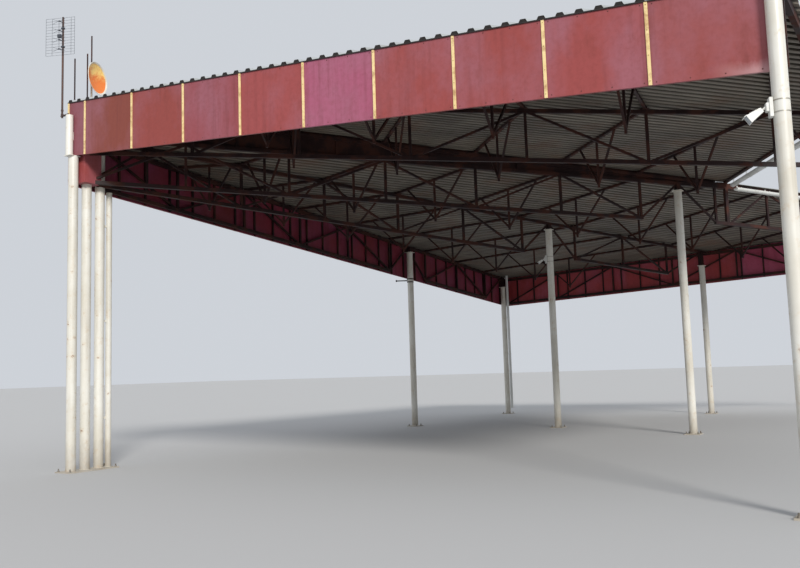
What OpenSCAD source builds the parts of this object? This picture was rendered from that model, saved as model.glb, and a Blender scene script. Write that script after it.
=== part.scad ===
// Filling station canopy: an open fan of steel trusses that spreads from a cluster of posts at
// one corner. X runs along the near edge, Y runs towards the back edge, Z is up. The origin is
// on the ground under the outer corner of the near and left fascias. Two flat roof wings lean
// different ways, and the right wing laps over the left wing along the second truss.

/* [Plan] */
// Length of the near edge
near_len = 12300; // [11000:100:14000]
// Distance from the near edge to the back edge
depth_y = 18400; // [16500:100:22000]
// Length of the back edge
back_len = 14200; // [12500:100:17000]
// Place of the inner eave corner along the near edge
apex_x = 9350; // [8200:50:10500]
// Place of the inner eave corner away from the near edge
apex_y = 11000; // [9600:50:12600]
// Length of the straight right edge
right_y = 5600; // [5000:50:6700]

/* [Roof] */
// Height of the right wing at the hub corner
hub_right_z = 6793; // [6600:1:7600]
// Height of the left wing at the hub corner
hub_left_z = 6250; // [5400:1:6400]
// Fall of the right wing along the near edge, mm per metre
fall_right = 90.6; // [60:0.1:110]
// Rise of the left wing along the back edge, mm per metre
rise_back = 34.9; // [20:0.1:45]
// Fall of the left wing towards the back edge, mm per metre
fall_back = 74.7; // [60:0.1:90]
// Step from the left wing up to the right wing at the inner eave corner
lap_step = 60; // [58:1:90]
// Width by which the right wing laps over the left wing
lap_w = 150; // [100:5:250]
// Overhang of the deck past the eave beams
eave_lap = 60; // [30:5:90]

/* [Deck] */
// Distance between ribs of the sheet
rib_pitch = 169; // [150:1:300]
// Height of a rib
rib_h = 45; // [30:1:60]
// Width of a rib's flat top
rib_top = 50; // [30:1:70]
// Width of a rib's sloping side
rib_side = 18; // [10:1:25]
// Thickness of the sheet
sheet_t = 3; // [2:0.5:5]
// Direction of the right wing's ribs
rib_dir_right = 43; // [35:1:55]
// Direction of the left wing's ribs
rib_dir_left = 56; // [50:1:66]

/* [Trusses] */
// Side of a chord tube
chord = 70; // [60:1:90]
// Distance between chord centres
truss_depth = 860; // [700:10:1000]
// Side of a vertical
vert_w = 50; // [40:1:60]
// Side of a diagonal
diag_w = 42; // [35:1:55]
// Distance between the nodes of a truss
panel = 2000; // [1650:10:2400]
// Direction of the third truss
ray_third = 68.4; // [65:0.1:71]
// Side of the end post at the inner eave corner
end_post = 76; // [70:1:120]
// Place of the first node of the inner eave truss
eave_node = 1300; // [1000:10:1600]
// Shift of the first truss's nodes along it
node_first = 310; // [0:10:450]

/* [Purlins] */
// Side of a purlin tube
purlin = 50; // [45:1:80]
// Side of a hanger bar
hang_w = 38; // [30:1:50]
// Half width of a hanger
hang_half = 900; // [600:10:1000]
// Clearance between purlin ends over a truss
purlin_gap = 18; // [14:1:24]

/* [Columns] */
// Outer diameter of a column
col_d = 178; // [160:1:195]
// Wall of a column
col_wall = 7; // [5:1:10]
// Side of a foot plate
foot_w = 340; // [320:5:400]
// Thickness of a foot plate
foot_t = 20; // [15:1:30]
// Distance between foot bolts
bolt_gap = 250; // [230:5:270]
// Diameter of a foot bolt hole
bolt_d = 26; // [20:1:30]
// Side of a cap plate
cap_w = 220; // [205:5:240]
// Thickness of a cap plate
cap_t = 12; // [8:1:20]
// Height of the seat between a main column and the top chord
seat_main = 115; // [80:5:200]
// Height of the seat between a back column and the top chord
seat_back = 330; // [220:5:400]
// Distance of the right column from the hub
right_r = 13010; // [12600:10:13300]
// Distance of the middle column from the hub
middle_r = 12360; // [12000:10:13200]
// Distance of the left column from the hub
left_r = 11510; // [11200:10:12600]
// Distance of the back columns in from the back edge
back_in = 540; // [450:5:700]
// Place of the near column in from the right end of the near edge
near_in = 152; // [145:1:170]

/* [Hub] */
// Width of the hub head
hub_w = 300; // [280:5:360]
// Length of the hub head
hub_l = 360; // [320:5:420]
// Wall of the hub head
hub_wall = 12; // [8:1:20]
// Diameter of the pipe beside the hub posts
pipe_d = 110; // [80:1:120]
// Diameter of the upper post in front of the fascia
upper_d = 135; // [110:1:145]
// Height of the upper post's top
upper_h = 6510; // [6400:10:6700]

/* [Fascia] */
// Height of the fascias
fascia_h = 1018; // [1000:1:1250]
// Width of a fascia panel
panel_w = 1286; // [1100:1:1500]
// Width of the first panel
first_w = 496; // [400:1:700]
// Thickness of a fascia panel
fascia_t = 8; // [5:0.5:12]
// Depth of the folded lip
lip = 30; // [20:1:40]
// Width of a batten
batten_w = 40; // [30:1:60]
// Thickness of a batten
batten_t = 12; // [8:1:25]
// Side of an inner post
post_w = 40; // [30:1:50]
// Gap between two panels
seam = 6; // [4:1:10]

/* [Rainwater] */
// Radius of a gutter
gutter_r = 65; // [50:1:80]
// Wall of a gutter
gutter_t = 4; // [3:0.5:6]
// Diameter of the downpipe
down_d = 90; // [70:1:110]
// Width of a gutter bracket
strap_w = 30; // [20:1:40]

/* [Hidden] */

// Colours
c_white = [0.86, 0.85, 0.8];
c_steel = [0.2, 0.1, 0.1];
c_red = [0.62, 0.33, 0.31];
c_batten = [0.9, 0.78, 0.42];
c_deck = [0.5, 0.5, 0.48];
c_gutter = [0.88, 0.88, 0.86];
c_dish = [0.9, 0.5, 0.16];

// Centre line of the edge trusses, in from the outer faces, and of the columns beside them
off = fascia_t + post_w + chord/2;
side_in = fascia_t + post_w + cap_w/2;
// Levels in a wing, down from the underside of its deck
z_top = -purlin - chord/2;
z_bot = z_top - truss_depth;

// Slopes of the two wings
a_l = rise_back/1000;
b_l = -fall_back/1000;
a_r = -fall_right/1000;
b_r = (z_left([apex_x, apex_y]) + lap_step - hub_right_z - a_r*apex_x)/apex_y;
function z_left(p) = hub_left_z + a_l*p[0] + b_l*p[1];
function z_right(p) = hub_right_z + a_r*p[0] + b_r*p[1];

// Directions of the trusses and points along them
ray_second = atan2(apex_y - off, apex_x - off);
apex_r = norm([apex_x - off, apex_y - off]);
function ray(a, r) = [off + r*cos(a), off + r*sin(a)];
back_line = depth_y - off;
right_line = near_len - chord/2 - eave_lap;
// The first truss ends just short of the knee of the right edge
ray_first = atan2(right_y - 120 - off, right_line - off);
function side(a) = [-sin(a), cos(a)];
apex = [apex_x, apex_y];
// The inner eave runs from the inner corner to the back right corner
br = [back_len - eave_lap - chord, back_line];
eave_dir = atan2(br[1] - apex[1], br[0] - apex[0]);
eave_len = norm(br - apex);
function eave_pt(d) = apex + d*[cos(eave_dir), sin(eave_dir)];
// The right edge ends at a corner, and a short eave runs from there to the inner corner
knee = [right_line, right_y];
short_dir = atan2(apex[1] - knee[1], apex[0] - knee[0]);
short_len = norm(apex - knee);

// Columns in plan; the near one stands in line with the near fascia, beside the near truss
truss_face = fascia_t + post_w;
p_near = [near_len - near_in, truss_face - col_d/2 - 0.5];
p_right = ray(ray_second, right_r);
p_middle = ray(ray_third, middle_r);
p_left = [side_in, off + left_r];
p_back_left = [side_in, depth_y - back_in];
third_r = (depth_y - back_in - off)/sin(ray_third);
p_back_middle = ray(ray_third, third_r);
back_d = eave_len - (back_in - off)/sin(eave_dir);
p_back_right = eave_pt(back_d);
fascia_end = p_near[0] - col_d/2 - 2;
// Hub head in plan, behind the near truss
hub_x0 = truss_face;
hub_y0 = truss_face + chord;
hub_x1 = hub_x0 + hub_w;
hub_y1 = hub_y0 + hub_l;
// Hub posts in a row: under the near fascia, under the head, behind the head, and a pipe
p_front = [side_in + 10, 0];
p_upper = [side_in - 18, -upper_d/2 - 3];
p_inner = [side_in, hub_y0 + hub_l/2];
p_hub_left = [side_in + 12, hub_y1 + col_d/2 + 16];
p_pipe = p_hub_left + [8, col_d/2 + 60 + pipe_d/2];
base_lo = [-60, -col_d/2 - 70];
base_hi = [side_in + col_d/2 + 110, p_pipe[1] + pipe_d/2 + 60];
base_in = 45;
// Step between the wings at a point
function step_at(p) = z_right(p) - z_left(p);
// Levels of the hub head
hub_z0 = hub_left_z + z_bot - chord/2 - 10;
hub_z1 = z_right([hub_x1, hub_y1]) - purlin + 20;

// Leans what it holds onto a roof wing
module on_right() {
    multmatrix([[1, 0, 0, 0], [0, 1, 0, 0], [a_r, b_r, 1, hub_right_z], [0, 0, 0, 1]]) children();
}
module on_left() {
    multmatrix([[1, 0, 0, 0], [0, 1, 0, 0], [a_l, b_l, 1, hub_left_z], [0, 0, 0, 1]]) children();
}

// Square bar between two points
module bar(p, q, w) {
    v = q - p;
    l = norm(v);
    translate(p) rotate([0, acos(v[2]/l), atan2(v[1], v[0])])
        translate([-w/2, -w/2, 0]) cube([w, w, l]);
}

// Truss along +X from x0 to x1: chords, a vertical at each node, and diagonals that zigzag.
// Over a column the lower chord is left out for one bay, and two diagonals rise to a seat
// under the top chord. The nodes stop short of the end by a tail.
module truss(x0, x1, first = 0, phase = 0, cols = [], seat = [-50, 50], tail = 200) {
    n0 = ceil((x0 + 200 - phase)/panel);
    n1 = floor((x1 - tail - phase)/panel);
    open = [for (c = cols) floor((c - phase)/panel)];
    to_end = len(open) > 0 && open[len(open) - 1] >= n1;
    translate([x0, -chord/2, z_top - chord/2]) cube([x1 - x0, chord, chord]);
    difference() {
        translate([x0, -chord/2, z_bot - chord/2]) cube([x1 - x0, chord, chord]);
        for (k = open) translate([phase + k*panel + chord/2, -chord, z_bot - chord])
            cube([k >= n1 ? x1 - x0 : panel - chord, 2*chord, 2*chord]);
    }
    for (i = [n0:n1])
        translate([phase + i*panel - vert_w/2, -vert_w/2, z_bot]) cube([vert_w, vert_w, truss_depth]);
    for (i = [n0:n1 - 1]) if (len([for (k = open) if (k == i) k]) == 0) {
        up = len(open) == 0 ? (i + first) % 2 == 0
            : i < open[0] ? (open[0] - i) % 2 == 0 : (i - open[0] - 1) % 2 == 0;
        bar([phase + i*panel, 0, up ? z_bot : z_top],
            [phase + (i + 1)*panel, 0, up ? z_top : z_bot], diag_w);
    }
    for (c = cols) {
        k = floor((c - phase)/panel);
        bar([phase + k*panel, 0, z_bot], [c, 0, z_top], diag_w);
        if (k < n1) bar([phase + (k + 1)*panel, 0, z_bot], [c, 0, z_top], diag_w);
        translate([c - 50, seat[0], z_top - 700]) cube([100, seat[1] - seat[0], 700]);
    }
    // short end bays, where there is room for a diagonal
    if (!to_end && x1 - n1*panel - phase > 500) {
        up = (n1 + first) % 2 == 0;
        bar([phase + n1*panel, 0, up ? z_bot : z_top], [x1 - chord, 0, up ? z_top : z_bot], diag_w);
        translate([x1 - vert_w, -vert_w/2, z_bot]) cube([vert_w, vert_w, truss_depth]);
    }
    if (phase + n0*panel - x0 > 500) {
        up = len(open) == 0 ? (n0 + first) % 2 == 0 : (open[0] - n0) % 2 == 1;
        bar([phase + n0*panel, 0, up ? z_top : z_bot], [x0 + chord, 0, up ? z_bot : z_top], diag_w);
        translate([x0, -vert_w/2, z_bot]) cube([vert_w, vert_w, truss_depth]);
    }
}
module truss_on(a, x0, x1, first = 0, phase = 0, cols = [], seat = [-50, 50], tail = 200) {
    translate([off, off, 0]) rotate([0, 0, a]) truss(x0, x1, first, phase, cols, seat, tail);
}
// Place of the nodes that puts a column in the middle of a bay
function mid_bay(c) = (c + panel/2) % panel;

// Room that the hub head and the columns take
module hub_room() {
    translate([-1, -1, -9000]) cube([hub_x1 + 1, hub_y1 + 1, 21000]);
}
module column_room(p, top) {
    translate([p[0], p[1], -9000]) cylinder(h = 9000 + top, d = col_d + 1, $fn = 32);
    translate([p[0] - cap_w/2 - 1, p[1] - cap_w/2 - 1, top - cap_t - 1])
        cube([cap_w + 2, cap_w + 2, cap_t + 1]);
    // the seat ends on the cap plate
    translate([p[0] - 160, p[1] - 75, top - 900]) cube([260, 150, 900]);
}

// Room that the end post at the inner eave corner takes
module post_room(extra = 0) {
    translate([apex[0], apex[1], -2000]) rotate([0, 0, ray_second])
        translate([-end_post/2 - extra, -end_post/2 - extra, 0])
            cube([end_post + 2*extra, end_post + 2*extra, 4000]);
}

// Tube from z0 up to z1, closed by a disc
module post(p, z0, z1, d = col_d, wall = col_wall) {
    translate([p[0], p[1], z0]) {
        difference() {
            cylinder(h = z1 - z0, d = d, $fn = 48);
            translate([0, 0, -1]) cylinder(h = z1 - z0 - cap_t + 1, d = d - 2*wall, $fn = 48);
        }
    }
}
// Round column on a foot plate with four bolt holes, closed by a disc or under a cap plate
module column(p, h, disc = false) {
    difference() {
        translate([p[0] - foot_w/2, p[1] - foot_w/2, 0]) cube([foot_w, foot_w, foot_t]);
        for (x = [-1, 1], y = [-1, 1])
            translate([p[0] + x*bolt_gap/2, p[1] + y*bolt_gap/2, -1])
                cylinder(h = foot_t + 2, d = bolt_d, $fn = 32);
    }
    post(p, foot_t - 1, h);
    if (!disc) translate([p[0] - cap_w/2, p[1] - cap_w/2, h - cap_t]) cube([cap_w, cap_w, cap_t]);
}
// Height of a cap plate that just clears a leaning chord above it
cap_lean = (abs(a_l) + abs(b_l))*cap_w/2;
function under_top(p) = z_left(p) + z_top - chord/2 - cap_lean;
h_right = under_top(p_right) - seat_main;
h_middle = under_top(p_middle) - seat_main;
h_left = under_top(p_left) - seat_main;
h_back_left = under_top(p_back_left) - seat_back + 60;
h_back_middle = under_top(p_back_middle) - seat_back - 60;
h_back_right = under_top(p_back_right) - seat_back;
near_h = z_right(p_near) - 20;
// The near column carries the near truss on a cleat at each chord
module column_near() {
    color(c_white) {
        column(p_near, near_h, true);
        for (z = [z_top, z_bot]) translate([p_near[0] - 30, truss_face - 12, z_right(p_near) + z - 25])
            cube([60, 12, 50]);
    }
}
module column_right() { color(c_white) column(p_right, h_right); }
module column_middle() { color(c_white) column(p_middle, h_middle); }
module column_left() { color(c_white) column(p_left, h_left); }
module column_back_left() { color(c_white) column(p_back_left, h_back_left); }
module column_back_middle() { color(c_white) column(p_back_middle, h_back_middle); }
module column_back_right() { color(c_white) column(p_back_right, h_back_right); }

// Base plate that the hub posts share, with four bolt holes
module hub_base() {
    color(c_white) difference() {
        translate([base_lo[0], base_lo[1], 0])
            cube([base_hi[0] - base_lo[0], base_hi[1] - base_lo[1], foot_t]);
        for (x = [base_lo[0] + base_in, base_hi[0] - base_in],
             y = [base_lo[1] + base_in, base_hi[1] - base_in])
            translate([x, y, -1]) cylinder(h = foot_t + 2, d = bolt_d, $fn = 32);
    }
}
// Front post under the near fascia, and a slimmer post that goes on up in front of it
front_top = z_right([p_front[0] + cap_w/2, 0]) - fascia_h - 3;
module hub_post_front() {
    color(c_white) {
        post(p_front, foot_t, front_top - 2);
        translate([p_upper[0] - upper_d/2 + 2, p_upper[1] - upper_d/2, front_top - cap_t])
            cube([p_front[0] + col_d/2 - p_upper[0] + upper_d/2 - 6, upper_d + 3 + 90, cap_t]);
        post(p_upper, front_top - 2, upper_h, upper_d, 5);
        translate([p_upper[0] - 30, -14, front_top + 300]) cube([60, 14, 150]);
    }
}
module hub_post_inner() { color(c_white) post(p_inner, foot_t, hub_z0); }
// Post behind the head, with a slimmer pipe beside it on three brackets
hub_left_top = under_top(p_hub_left) - 20;
module hub_post_left() {
    color(c_white) {
        post(p_hub_left, foot_t, hub_left_top);
        post(p_pipe, foot_t, z_left(p_pipe) + z_bot - chord/2 - 40, pipe_d, 5);
        for (z = [900, 2700, 4500]) translate([p_hub_left[0] - 15, p_hub_left[1] + col_d/2 - 5, z])
            cube([30, 70, 40]);
    }
}

// Pipe with a bore
module side_pipe(c, d, wall, z0, z1) {
    translate([c[0], c[1], z0]) difference() {
        cylinder(h = z1 - z0, d = d, $fn = 32);
        translate([0, 0, -1]) cylinder(h = z1 - z0 + 2, d = d - 2*wall, $fn = 32);
    }
}

// Head that the trusses butt against: an open box with a floor
module hub_head() {
    color(c_red) translate([hub_x0, hub_y0, hub_z0]) difference() {
        cube([hub_w, hub_l, hub_z1 - hub_z0]);
        translate([hub_wall, hub_wall, hub_wall])
            cube([hub_w - 2*hub_wall, hub_l - 2*hub_wall, hub_z1 - hub_z0]);
    }
}

// Trusses
module truss_near() {
    color(c_steel) {
        on_right() truss_on(0, hub_x0 - off, right_line + chord/2 - off);
        // block down to the front post
        translate([p_front[0] - 40, truss_face, front_top])
            cube([80, chord/2, z_right(p_front) + z_bot - front_top]);
    }
}
module truss_first() {
    color(c_steel) on_right() difference() {
        truss_on(ray_first, 150, (right_line - off)/cos(ray_first) - 60, 1, node_first);
        hub_room();
        translate([right_line - chord/2, 0, -2000]) cube([500, 12000, 4000]);
    }
}
// The second truss carries the left wing on its top chord and the right wing on a rail above it
module right_rail() {
    on_right() translate([off, off, 0]) rotate([0, 0, ray_second])
        translate([150, -chord/2, z_top - chord/2]) cube([apex_r - 150, chord, chord]);
}
module truss_second() {
    color(c_steel) difference() {
        union() {
            on_left() {
                truss_on(ray_second, 150, apex_r, 0, mid_bay(right_r), [right_r]);
                translate([apex[0], apex[1], z_bot - chord/2]) rotate([0, 0, ray_second])
                    translate([-end_post/2, -end_post/2, 0])
                        cube([end_post, end_post, truss_depth + chord + lap_step + 50]);
                for (r = [panel/2:panel:apex_r - panel/2]) {
                    p = ray(ray_second, r);
                    translate([p[0], p[1], z_top]) rotate([0, 0, ray_second])
                        translate([-diag_w/2, -diag_w/2, 0]) cube([diag_w, diag_w, step_at(p)]);
                }
            }
            right_rail();
        }
        hub_room();
        column_room(p_right, h_right);
        on_right() translate([-1000, -1000, -purlin]) cube([20000, 22000, 3000]);
    }
}
module truss_third() {
    color(c_steel) difference() {
        on_left() difference() {
            truss_on(ray_third, 150, (back_line - off)/sin(ray_third), 1, mid_bay(middle_r),
                [middle_r, third_r], [-50, 50], 400);
            translate([0, back_line - chord/2, -2000]) cube([20000, 2000, 4000]);
        }
        hub_room();
        column_room(p_middle, h_middle);
        column_room(p_back_middle, h_back_middle);
        column_room(p_hub_left, hub_left_top);
    }
}
module truss_left() {
    color(c_steel) difference() {
        on_left() {
            truss_on(90, hub_y1 - off, back_line - chord/2 - off, 0, mid_bay(left_r),
                [left_r, depth_y - back_in - off], [off - side_in - 50, chord/2]);
            translate([truss_face, p_hub_left[1] - 40, z_top - 200]) cube([140, 80, 200]);
        }
        column_room(p_left, h_left);
        column_room(p_back_left, h_back_left);
        column_room(p_hub_left, hub_left_top);
    }
}
module truss_back() {
    color(c_steel) on_left() translate([off, back_line, 0])
        truss(-chord/2, back_len - eave_lap - off, 1);
}
// Truss under the inner eave, with an edge strip that the deck rests on
module truss_inner_eave() {
    color(c_steel) difference() {
        on_left() difference() {
            translate([apex[0], apex[1], 0]) rotate([0, 0, eave_dir]) {
                truss(0, eave_len, 0, eave_node, [back_d], [-chord/2, 50]);
                translate([0, -chord/2, -purlin]) cube([eave_len + 100, chord/2 - 2, purlin]);
            }
            translate([0, back_line - chord/2, -2000]) cube([20000, 2000, 4000]);
            post_room();
        }
        column_room(p_back_right, h_back_right);
    }
}
// Beam under the right edge, and a shallower one under the short eave that lies on the end post
module eave_beam_right() {
    h = chord + purlin;
    color(c_steel) on_right() {
        translate([right_line - chord/2, off + chord/2, -h])
            cube([chord, right_y - off - chord/2, h]);
        translate([knee[0], knee[1], -purlin]) rotate([0, 0, short_dir])
            translate([-chord/2, -chord/2, 0]) cube([short_len + chord/2, chord, purlin]);
    }
}

// Purlin between two points, with a hanger of a post and two struts at its middle
module purlin_bar(p, q, hang = true) {
    v = q - p;
    l = norm(v);
    hw = min(hang_half, l/2 - 200);
    translate([p[0], p[1], 0]) rotate([0, 0, atan2(v[1], v[0])]) {
        translate([purlin_gap, -purlin/2, -purlin]) cube([l - 2*purlin_gap, purlin, purlin]);
        if (hang && l > 1300) translate([l/2, 0, 0]) {
            translate([-hang_w/2, -hang_w/2, z_bot - chord/2])
                cube([hang_w, hang_w, -z_bot + chord/2 - purlin/2]);
            for (k = [-1, 1]) bar([0, 0, z_bot + 20], [k*hw, 0, -purlin], hang_w*0.9);
        }
    }
}
// Purlins from node to node between two trusses, whose nodes are shifted by s0 and s1
module bay(a0, a1, n, s0, s1) {
    for (i = [1:n]) if (i*panel + min(s0, s1) > 900)
        purlin_bar(ray(a0, i*panel + s0), ray(a1, i*panel + s1));
}
s_second = mid_bay(right_r);
s_third = mid_bay(middle_r) - panel;
s_left = mid_bay(left_r) - panel;
n_first = floor((right_line - off - 100)/panel);
n_second = floor((apex_r - 1000 - mid_bay(right_r))/panel);
n_fourth = floor((back_line - off - 150)/panel);
n_third = floor((apex_r - 100 - mid_bay(right_r))/panel);
mid_third = (ray_second + ray_third)/2 + 90;
module purlins_first_bay() { color(c_steel) on_right() bay(0, ray_first, n_first, 0, node_first); }
module purlins_second_bay() {
    color(c_steel) on_right() bay(ray_first, ray_second, n_second, node_first, s_second);
}
module purlins_third_bay() {
    color(c_steel) difference() {
        on_left() {
            bay(ray_second, ray_third, n_third, s_second, s_third);
            // on from the inner corner, from the eave to the third truss or the back truss
            for (d = [eave_node:panel:eave_len - 700]) {
                e = eave_pt(d);
                // where the line through e meets the third truss, if before the back truss
                t3 = ((e[0] - off)*sin(ray_third) - (e[1] - off)*cos(ray_third))
                    /(sin(mid_third)*cos(ray_third) - cos(mid_third)*sin(ray_third));
                tb = (back_line - e[1])/sin(mid_third);
                t = min(t3, tb);
                purlin_bar(e, e + t*[cos(mid_third), sin(mid_third)]);
            }
        }
        right_rail();
        translate([off, off, 0]) rotate([0, 0, ray_second])
            translate([0, -500, 0]) cube([apex_r, 500 + diag_w/2 + up_t + 1, 9000]);
    }
}
module purlins_fourth_bay() {
    color(c_steel) on_left() bay(ray_third, 90, n_fourth, s_third, s_left);
}

// Ribbed sheet, with its ribs along a direction
module sheet(dir, size) {
    n = ceil(size/rib_pitch);
    flat = rib_pitch - rib_top - 2*rib_side;
    low = [for (i = [-n:n]) each [[i*rib_pitch, 0], [i*rib_pitch + flat, 0],
        [i*rib_pitch + flat + rib_side, rib_h], [i*rib_pitch + flat + rib_side + rib_top, rib_h]]];
    high = [for (i = [len(low) - 1:-1:0]) low[i] + [0, sheet_t]];
    rotate([0, 0, dir]) rotate([90, 0, 90]) translate([0, 0, -size])
        linear_extrude(height = 2*size) polygon(concat(low, high));
}
// Point where the line through p along a reaches x
function at_x(p, a, x) = p + (x - p[0])/cos(a)*[cos(a), sin(a)];
module deck_right() {
    edge = apex - (chord/2 + eave_lap)*side(short_dir);
    lap = apex + lap_w*side(ray_second);
    color(c_deck) on_right() intersection() {
        sheet(rib_dir_right, 17000);
        linear_extrude(height = 200, center = true) polygon([[0, 0], [near_len, 0],
            at_x(edge, short_dir, near_len), edge + 60*[cos(short_dir), sin(short_dir)],
            lap, at_x(lap, ray_second, 0)]);
    }
}
module deck_left() {
    gap = chord/2 + 5;
    edge = apex - (chord/2 + eave_lap)*side(eave_dir) + 120*[cos(eave_dir), sin(eave_dir)];
    lap = apex + gap*side(ray_second);
    color(c_deck) difference() {
        on_left() intersection() {
            sheet(rib_dir_left, 24000);
            linear_extrude(height = 200, center = true) polygon([at_x(lap, ray_second, 0), lap,
                edge, at_x(edge, eave_dir, back_len), [back_len, depth_y], [0, depth_y]]);
        }
        translate([hub_x0 - 2, -1, 0]) cube([hub_w + 2, hub_y1 + 1, 9000]);
    }
}

// Sheet that closes the wedge between the wings, up to the rail and on to the right wing's deck
up_t = 3;
module lap_upstand() {
    color(c_deck) difference() {
        on_left() translate([off, off, 0]) rotate([0, 0, ray_second])
            translate([150, diag_w/2, z_top + chord/2]) cube([apex_r - 400, up_t, 1500]);
        right_rail();
        on_right() translate([-1000, -1000, 0]) cube([20000, 22000, 3000]);
        hub_room();
    }
}

// Fascia along +X with its outer face towards -Y: folded panels, battens and inner posts.
// The first panel is narrower, and each seam has a batten in front and a post behind.
function seams(l) = [for (i = [0:floor((l - first_w - 100)/panel_w)]) first_w + i*panel_w];
module panels(l, start = 0, lip_from = 0) {
    cuts = concat([start - seam/2], [for (x = seams(l)) if (x > start + 100) x], [l + seam/2]);
    for (i = [0:len(cuts) - 2]) {
        x = cuts[i] + seam/2;
        w = cuts[i + 1] - cuts[i] - seam;
        translate([x, 0, -fascia_h]) {
            cube([w, fascia_t, fascia_h]);
            lx = max(0, lip_from - x);
            translate([lx, 0, 0]) cube([w - lx, fascia_t + lip, fascia_t]);
        }
    }
}
module battens(l, corner = true) {
    for (x = concat(corner ? [batten_w/2] : [], [for (x = seams(l)) if (x < l - 300) x]))
        translate([x - batten_w/2, -batten_t, -fascia_h]) cube([batten_w, batten_t, fascia_h]);
}
module posts(l, start) {
    for (i = [0:floor((l - first_w - 60)/(panel_w/2))]) {
        x = first_w + i*panel_w/2;
        if (x > start) translate([x - post_w/2, fascia_t, fascia_t - fascia_h])
            cube([post_w, post_w, fascia_h - fascia_t]);
    }
}
module near_side() { on_right() children(); }
module left_side() { on_left() mirror([1, -1, 0]) children(); }
module back_side() { on_left() translate([0, depth_y, 0]) mirror([0, 1, 0]) children(); }
left_run = depth_y - fascia_t;
module near_fascia() { color(c_red) near_side() panels(fascia_end, 0, fascia_t + 1); }
module near_battens() { color(c_batten) near_side() battens(fascia_end); }
module near_posts() { color(c_steel) near_side() posts(fascia_end - 60, 400); }
module left_fascia() { color(c_red) left_side() panels(left_run, fascia_t); }
module left_battens() { color(c_batten) left_side() battens(left_run, false); }
module left_posts() { color(c_steel) left_side() posts(left_run - 200, hub_y1 + 60); }
module back_fascia() { color(c_red) back_side() panels(back_len, 0, fascia_t + lip); }
module back_battens() { color(c_batten) back_side() battens(back_len); }
module back_posts() { color(c_steel) back_side() posts(back_len - 60, 400); }

// Half-round gutter along +X, hung on straps from a beam whose face is at y = 0
module gutter(l) {
    c = gutter_r + 6;
    translate([0, -c, -105]) rotate([90, 0, 90]) {
        difference() {
            cylinder(h = l, r = gutter_r, $fn = 24);
            translate([0, 0, gutter_t]) cylinder(h = l - 2*gutter_t, r = gutter_r - gutter_t, $fn = 24);
            translate([-gutter_r - 1, 0, -1]) cube([2*gutter_r + 2, gutter_r + 1, l + 2]);
        }
        for (i = [0:floor((l - 200)/900)]) translate([0, 0, 100 + i*900]) difference() {
            union() {
                cylinder(h = strap_w, r = gutter_r + 5, $fn = 24);
                translate([0, -6, 0]) cube([c, 12, strap_w]);
                translate([c - 6, -6, 0]) cube([6, 95, strap_w]);
            }
            translate([0, 0, -1]) cylinder(h = strap_w + 2, r = gutter_r, $fn = 24);
            translate([-gutter_r - 10, 6, -1]) cube([gutter_r + 10 + gutter_r - 0.5, gutter_r + 10, strap_w + 2]);
        }
    }
}
module gutter_right() {
    color(c_gutter) on_right() translate([knee[0], knee[1], 0]) rotate([0, 0, short_dir])
        translate([60, -chord/2, 0]) gutter(short_len - 280);
}
module gutter_inner() {
    color(c_gutter) on_left() translate([apex[0], apex[1], 0]) rotate([0, 0, eave_dir])
        translate([220, -chord/2, 0]) gutter(eave_len - 420);
}
// Downpipe beside the back left column, clear of its cap plate
module downpipe() {
    c = p_back_left + [cap_w/2 + down_d/2 + 6, 0];
    reach = (cap_w - col_d)/2 + 6;
    color(c_gutter) {
        side_pipe(c, down_d, 4, 200, z_left(c) - 5);
        for (z = [700, 2100, 3400]) translate([c[0] - down_d/2 - reach + 0.3, c[1] - 15, z])
            cube([reach + 2, 30, 40]);
    }
}

// Clamp of two bands round a column, open for its tube
module bands(gap) {
    for (z = [0, gap]) translate([0, 0, z]) difference() {
        cylinder(h = 30, d = col_d + 12, $fn = 48);
        translate([0, 0, -1]) cylinder(h = 32, d = col_d + 0.6, $fn = 48);
    }
}
// Floodlight on an arm that points away from its column
module lamp(p, z, a, l) {
    translate([p[0], p[1], z]) rotate([0, 0, a]) {
        bands(120);
        translate([col_d/2 + 3, -20, 0]) cube([12, 40, 180]);
        translate([col_d/2 + 10, -12, 78]) cube([90, 24, 24]);
        translate([col_d/2 + 95, 0, 90]) rotate([0, 20, 0]) {
            translate([0, -l/5, -l/6]) cube([l, l/2.5, l/3]);
            translate([-l/12, -l/4, l/6]) cube([l*1.15, l/2, 8]);
        }
    }
}
module lamp_near() { color(c_white) lamp(p_near, near_h - 1450, 240, 240); }
module lamp_middle() { color(c_white) lamp(p_middle, h_middle - 910, 213, 150); }
// Short arm on the left column
module arm_left() {
    color(c_steel) translate([p_left[0], p_left[1], h_left - 910]) rotate([0, 0, 213]) {
        bands(90);
        translate([col_d/2 + 3, -15, 0]) cube([10, 30, 120]);
        translate([col_d/2 + 8, -15, 45]) cube([330, 30, 30]);
        translate([col_d/2 + 310, -60, 38]) cube([40, 120, 44]);
    }
}

// Aerial at the hub corner: a mast on an arm over the upper post, with a grid of rods
module antenna_mast() {
    c = [-46, p_upper[1] - 25];
    color(c_steel) {
        translate([c[0], c[1], upper_h - 20]) cylinder(h = 1970, d = 38, $fn = 24);
        translate([c[0], c[1] - 15, upper_h]) cube([p_upper[0] - c[0] + 30, 30, 25]);
        translate([c[0] - 434, c[1] - 24, upper_h + 1200]) {
            for (i = [0:8]) translate([0, 0, i*94]) cube([870, 10, 8]);
            for (x = [100, 429, 760]) translate([x, 0, 0]) cube([10, 10, 760]);
        }
        translate([c[0] - 40, c[1] - 45, upper_h + 1550]) cube([80, 40, 60]);
    }
}
// Strip that lies on the ribs of the right wing
module rib_strip(c, l, a) {
    on_right() translate([c[0], c[1], rib_h + sheet_t]) rotate([0, 0, a])
        translate([-l/2, -25, 0]) cube([l, 50, 8]);
}
function rib_level(c) = z_right(c) + rib_h + sheet_t;
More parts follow.
